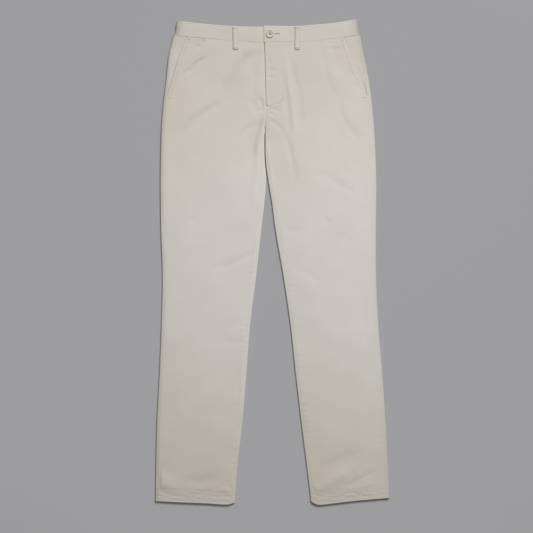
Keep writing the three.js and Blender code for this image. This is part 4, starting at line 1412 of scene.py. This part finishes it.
def sew(name, stitches, material=None):
    """Beads of thread as one mesh. A stitch is its middle, direction, length and width."""
    points, faces = [], []
    for (middle, way, length, width) in stitches:
        along = np.array(way, float)
        along /= np.linalg.norm(along)
        aside = np.cross((0, 0, 1), along)
        aside /= np.linalg.norm(aside)
        up = np.cross(along, aside)
        size = np.array([length, width, width * THREAD_HEIGHT / THREAD_WIDTH])
        shape = (BEAD_POINTS * size) @ np.array([along, aside, up]) + np.array(middle)
        faces += [tuple(i + len(points) * len(BEAD_POINTS) for i in face) for face in BEAD_FACES]
        points.append(shape)
    mesh = bpy.data.meshes.new(name)
    mesh.from_pydata((np.concatenate(points) * MM).tolist(), [], faces)
    mesh.update()
    piece = bpy.data.objects.new(name, mesh)
    bpy.context.scene.collection.objects.link(piece)
    only(piece)
    bpy.ops.object.shade_smooth()
    mesh.materials.append(material or SEWING_THREAD)
    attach(piece, "root")
    print(f"{name}: {len(stitches)} stitches")
    return piece


def along_line(points, pitch=STITCH_PITCH, length=STITCH_LENGTH, width=THREAD_WIDTH):
    """Stitches at an even pitch along a line of points."""
    points = np.array(points, float)
    reach = np.concatenate([[0], np.cumsum(np.linalg.norm(np.diff(points, axis=0), axis=1))])

    def on_line(at):
        return np.array([np.interp(at, reach, points[:, k]) for k in range(3)])

    middles = [m for m in np.arange(pitch / 2, reach[-1], pitch) if m + 0.5 < reach[-1]]
    return [(on_line(m), on_line(m + 0.5) - on_line(m - 0.5), length, width) for m in middles]


def bar_tack(start, end, width=1.9, pitch=0.62):
    """Dense stitches across a short line, which hold a corner."""
    start, end = np.array(start, float), np.array(end, float)
    way = (end - start) / np.linalg.norm(end - start)
    across = np.cross((0, 0, 1), way)
    count = int(np.linalg.norm(end - start) / pitch)
    return [(lerp(start, end, (i + 0.5) / count), across + way * (0.35 if i % 2 else -0.35), width, 0.6)
            for i in range(count)]


def on_front(side, x, row, lift=0.12):
    """A point just above the front's cloth."""
    x, row = np.float64(x), np.float64(row)
    return (float(x), float(bend(side, x, row)), float(front_height(side, x, row)) + lift)


# %% [markdown]
# ## Pocket stitching
# Both pocket mouths are stitched 6 mm inside their edge, with a bar tack at each end, where a
# hand in the pocket would tear the seam. A tack is a short line of dense cross stitches. The
# right pocket has one more, at the end of the coin pocket's opening under the band. The rows
# could be copied with an array along a curve, but a loop can read the cloth's height as it goes.

# %% Pocket stitching
TACK_LIFT = 0.3
COIN_POCKET_END_X = -148


def from_mouth(side, row, away):
    """x at a distance inside the front's outer edge, which is the pocket mouth above the side seam."""
    return float(front_edges(side, row)[0]) - side["sign"] * away


def mouth_stitches(side):
    rows = np.linspace(POCKET_END_Y + 4, WAIST_Y - 3, 60)
    return along_line([on_front(side, from_mouth(side, row, MOUTH_STITCH), row) for row in rows])


def mouth_tacks(side):
    low = [(from_mouth(side, POCKET_END_Y + 3, d), POCKET_END_Y - 2) for d in (1.0, 8.5)]
    high = [(from_mouth(side, WAIST_Y - 4, d), WAIST_Y - 5) for d in (0.8, 8.0)]
    coin = [(COIN_POCKET_END_X, WAIST_Y - d) for d in (6.0, 0.8)]
    tacks = [(low, 1.9), (high, 1.9), (coin, 1.6)] if side is RIGHT else [(low, 1.9), (high, 1.9)]
    stitches = []
    for ends, width in tacks:
        stitches += bar_tack(*[on_front(side, x, row, TACK_LIFT) for x, row in ends], width=width)
    return stitches


front_seams = {}
for side in (RIGHT, LEFT):
    stitches = mouth_stitches(side) + mouth_tacks(side)
    front_seams[side["name"]] = sew(f"pocket_stitching_{side['name']}", stitches)

# %% [markdown]
# ## Fly stitching
# One row holds the hidden inner side of the fly: straight down beside the opening, then in a
# curve to the opening's end, where a bar tack takes the strain. Below it two short rows hold the
# crotch seam. They are drawn with the same formula as the groove that they lie in.

# %% Fly stitching
FLY_TURNS = np.linspace(0, math.pi / 2, 24)
FLY_TACK_Y = FLY_END_Y + 5
CROTCH_ROWS = (2.4, 8.6)


def from_fly(row, away, lift=0.12):
    """A point on the left front, at a distance from the fly's edge."""
    return on_front(LEFT, float(front_edges(LEFT, row)[1]) + away, row, lift)


def fly_stitches():
    straight_rows = np.linspace(WAIST_Y - 2, FLY_CURVE_TOP, 40)
    curve_rows = FLY_CURVE_TOP - FLY_CURVE_DROP * np.sin(FLY_TURNS[1:])
    rows = np.concatenate([straight_rows, curve_rows])
    stitches = along_line([from_fly(row, max(float(fly_curve(row)), 1.5)) for row in rows])
    stitches += bar_tack(*[from_fly(FLY_TACK_Y, away, TACK_LIFT) for away in (1.0, 8.0)])
    for away in CROTCH_ROWS:
        rows = np.linspace(CROTCH_Y + 12, FLY_END_Y + 1, 14)
        stitches += along_line([from_fly(row, away) for row in rows])
    return stitches


sew("fly_stitching", fly_stitches())

# %% [markdown]
# ## Hem stitching
# One row runs round each leg, 26 mm above its edge, where the turned-up cloth ends inside. From
# the front it is over the cloth, and behind it is under it. A ring of stitches could be one
# curve. Two lines are enough here, because at the folded sides the row is out of sight.

# %% Hem stitching
HEM_ROW_END = 3


def hem_stitches(side):
    """The row over the front, then the same row under the back."""
    row = HEM_Y + HEM_STITCH
    outer = float(smooth(side["outer"], row)) - side["sign"] * HEM_ROW_END
    inner = float(inner_x(side, row)) + side["sign"] * HEM_ROW_END
    over, under = [], []
    for x in np.linspace(outer, inner, 70):
        y = float(smooth(side["hem"], x)) + HEM_STITCH
        real_row = row + y - float(bend(side, x, row))
        z = float(front_height(side, np.float64(x), np.float64(real_row)))
        over.append((x, y, z + 0.1))
        under.append((x, y, 0.02))
    return along_line(over) + along_line(under)


hem_seams = {}
for side in (RIGHT, LEFT):
    hem_seams[side["name"]] = sew(f"hem_stitching_{side['name']}", hem_stitches(side))

# %% [markdown]
# ## Loop stitching
# Each loop has a row of stitches along both edges, from when the strip was made, and a bar tack
# across each end, from when it was sewn on. They use the loop's own middle line, so they stay
# on it where it rises off the band.

# %% Loop stitching
LOOP_PITCH = 2.9
LOOP_TACKS = (0.08, 0.93)
LOOP_TACK_LIFT = LAYER_GAP + 2.3


def loop_stitches(side, x_centre, front):
    """Rows and tacks on top of a front loop, or under a back one."""
    shares = np.linspace(0.03, 0.97, 40)
    middle, y, rise, thick = loop_line(side, x_centre, shares)
    ends = under_loop(side, x_centre)
    z = lerp(*ends, shares) + LAYER_GAP + rise + thick if front else np.full_like(shares, 0.06)
    stitches = []
    for away in (-LOOP_ROW, LOOP_ROW):
        stitches += along_line(np.stack([middle + away, y, z], axis=1), pitch=LOOP_PITCH)
    for share, end in zip(LOOP_TACKS, ends):
        tack_y = float(loop_line(side, x_centre, share)[1])
        tack_z = end + LOOP_TACK_LIFT if front else 0.05
        stitches += bar_tack((x_centre - 5, tack_y, tack_z), (x_centre + 5, tack_y, tack_z), width=1.7)
    return stitches


loop_seams = {}
for node, row in LOOPS.items():
    loop_seams[node] = sew(node.replace("belt_", "") + "_stitching", loop_stitches(*row))

# %% [markdown]
# ## Buttonhole and button thread
# A buttonhole is edged with close stitches, which fan out round its end so that the button can't
# tear it. The button is held by strands that cross between its four holes, and by a short shank
# of thread that goes down through the slit. All are the same bead again, at other lengths: a
# curve with a bevel would be smoother, but too fine a thing to see.

# %% Buttonhole stitching
EDGING_PITCH, EDGING_LENGTH, EDGING_WIDTH = 0.62, 1.9, 0.6
EDGING_REACH = BUTTONHOLE_WIDTH / 2 + 0.8
EDGING_START = BUTTON_X - 1.4
EDGING_END = BUTTONHOLE_END - BUTTONHOLE_WIDTH / 2


def buttonhole_stitches():
    """Close stitches along both sides of the slit and round its end, as a machine sews them."""
    stitches = []
    for x in np.arange(EDGING_START, EDGING_END, EDGING_PITCH):
        z = float(band_height(LEFT, np.float64(x))) + 0.1
        for way in (-1, 1):
            middle = (x, BUTTON_Y + way * EDGING_REACH, z)
            stitches.append((middle, (0.12, 1, 0), EDGING_LENGTH, EDGING_WIDTH))
    end_z = float(band_height(LEFT, EDGING_END + 1.5)) + 0.1
    for angle in np.radians(np.arange(-75, 80, 15)):
        across, up = math.cos(angle), math.sin(angle)
        middle = (EDGING_END + EDGING_REACH * across, BUTTON_Y + EDGING_REACH * up, end_z)
        stitches.append((middle, (across, up, 0), EDGING_LENGTH, EDGING_WIDTH))
    return stitches


sew("buttonhole_stitching", buttonhole_stitches())

# %% Button thread and shank
STRAND_SHIFTS = (-0.42, 0.0, 0.42)
STRAND_LENGTH, STRAND_WIDTH = 2.9 * HOLE_REACH, 0.55
SHANK_PLACES = (-0.5, 0, 0.5)


def button_threads():
    """Strands that cross between opposite holes, and sink into them."""
    stitches = []
    dish_z = BUTTON_Z + BUTTON_THICK - DISH
    for across, up in ((1, 1), (1, -1)):
        for shift in STRAND_SHIFTS:
            middle = (BUTTON_X - up * shift * 0.7, BUTTON_Y + across * shift * 0.7, dish_z + 0.25)
            stitches.append((middle, (across, up, 0), STRAND_LENGTH, STRAND_WIDTH))
    return stitches


def shank_threads():
    """Upright strands between the button and the band under it. The lean keeps a direction aside."""
    return [((BUTTON_X + away, BUTTON_Y, BUTTON_Z - 1.4), (0.02, 0, 1), 4.4, 0.9) for away in SHANK_PLACES]


sew("button_thread", button_threads(), BUTTON_THREAD)
sew("button_shank", shank_threads(), BUTTON_THREAD)

# %% [markdown]
# ## What each piece is
# The trousers are one body of cloth with nothing that turns or slides, so every piece moves with
# the body called root. Each stands for its solid, which is hidden. The table gives the width and
# length of the rectangle that each was cut from and the share of it that the cut keeps. A cut
# size could be measured from the mesh, but a maker states it first.

# %% Declarations
CUTS = {
    # width, length, share of the rectangle that the cut keeps
    "front": (250, FRONT_LENGTH, 0.82),
    "back": (300, FRONT_LENGTH, 0.80),
    "pocket_facing": (60, 135, 0.62),
    "hem_turnup": (350, HEM_DEPTH + 3, 1.0),
    "waistband": (425, 36, 1.0),
    "belt_loop": (LOOP_WIDTH, 52, 1.0),
}
for name, stitched in front_seams.items():
    declare(front_panels[name], f"front_{name}", *CUTS["front"], [stitched])
    declare(back_panels[name], f"back_{name}", *CUTS["back"])
    declare(pocket_facings[name], f"pocket_facing_{name}", *CUTS["pocket_facing"])
    declare(hem_folds[name], f"hem_turnup_{name}", *CUTS["hem_turnup"], [hem_seams[name]])
    declare(bands[name], f"waistband_{name}", *CUTS["waistband"])
for node, loop in loops.items():
    declare(loop, node, *CUTS["belt_loop"], [loop_seams[node]])
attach(button, "root")
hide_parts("button")
sheets = [front_panels, back_panels, pocket_facings, hem_folds, bands, loops]
print("sheets:", sum(len(pair) for pair in sheets))
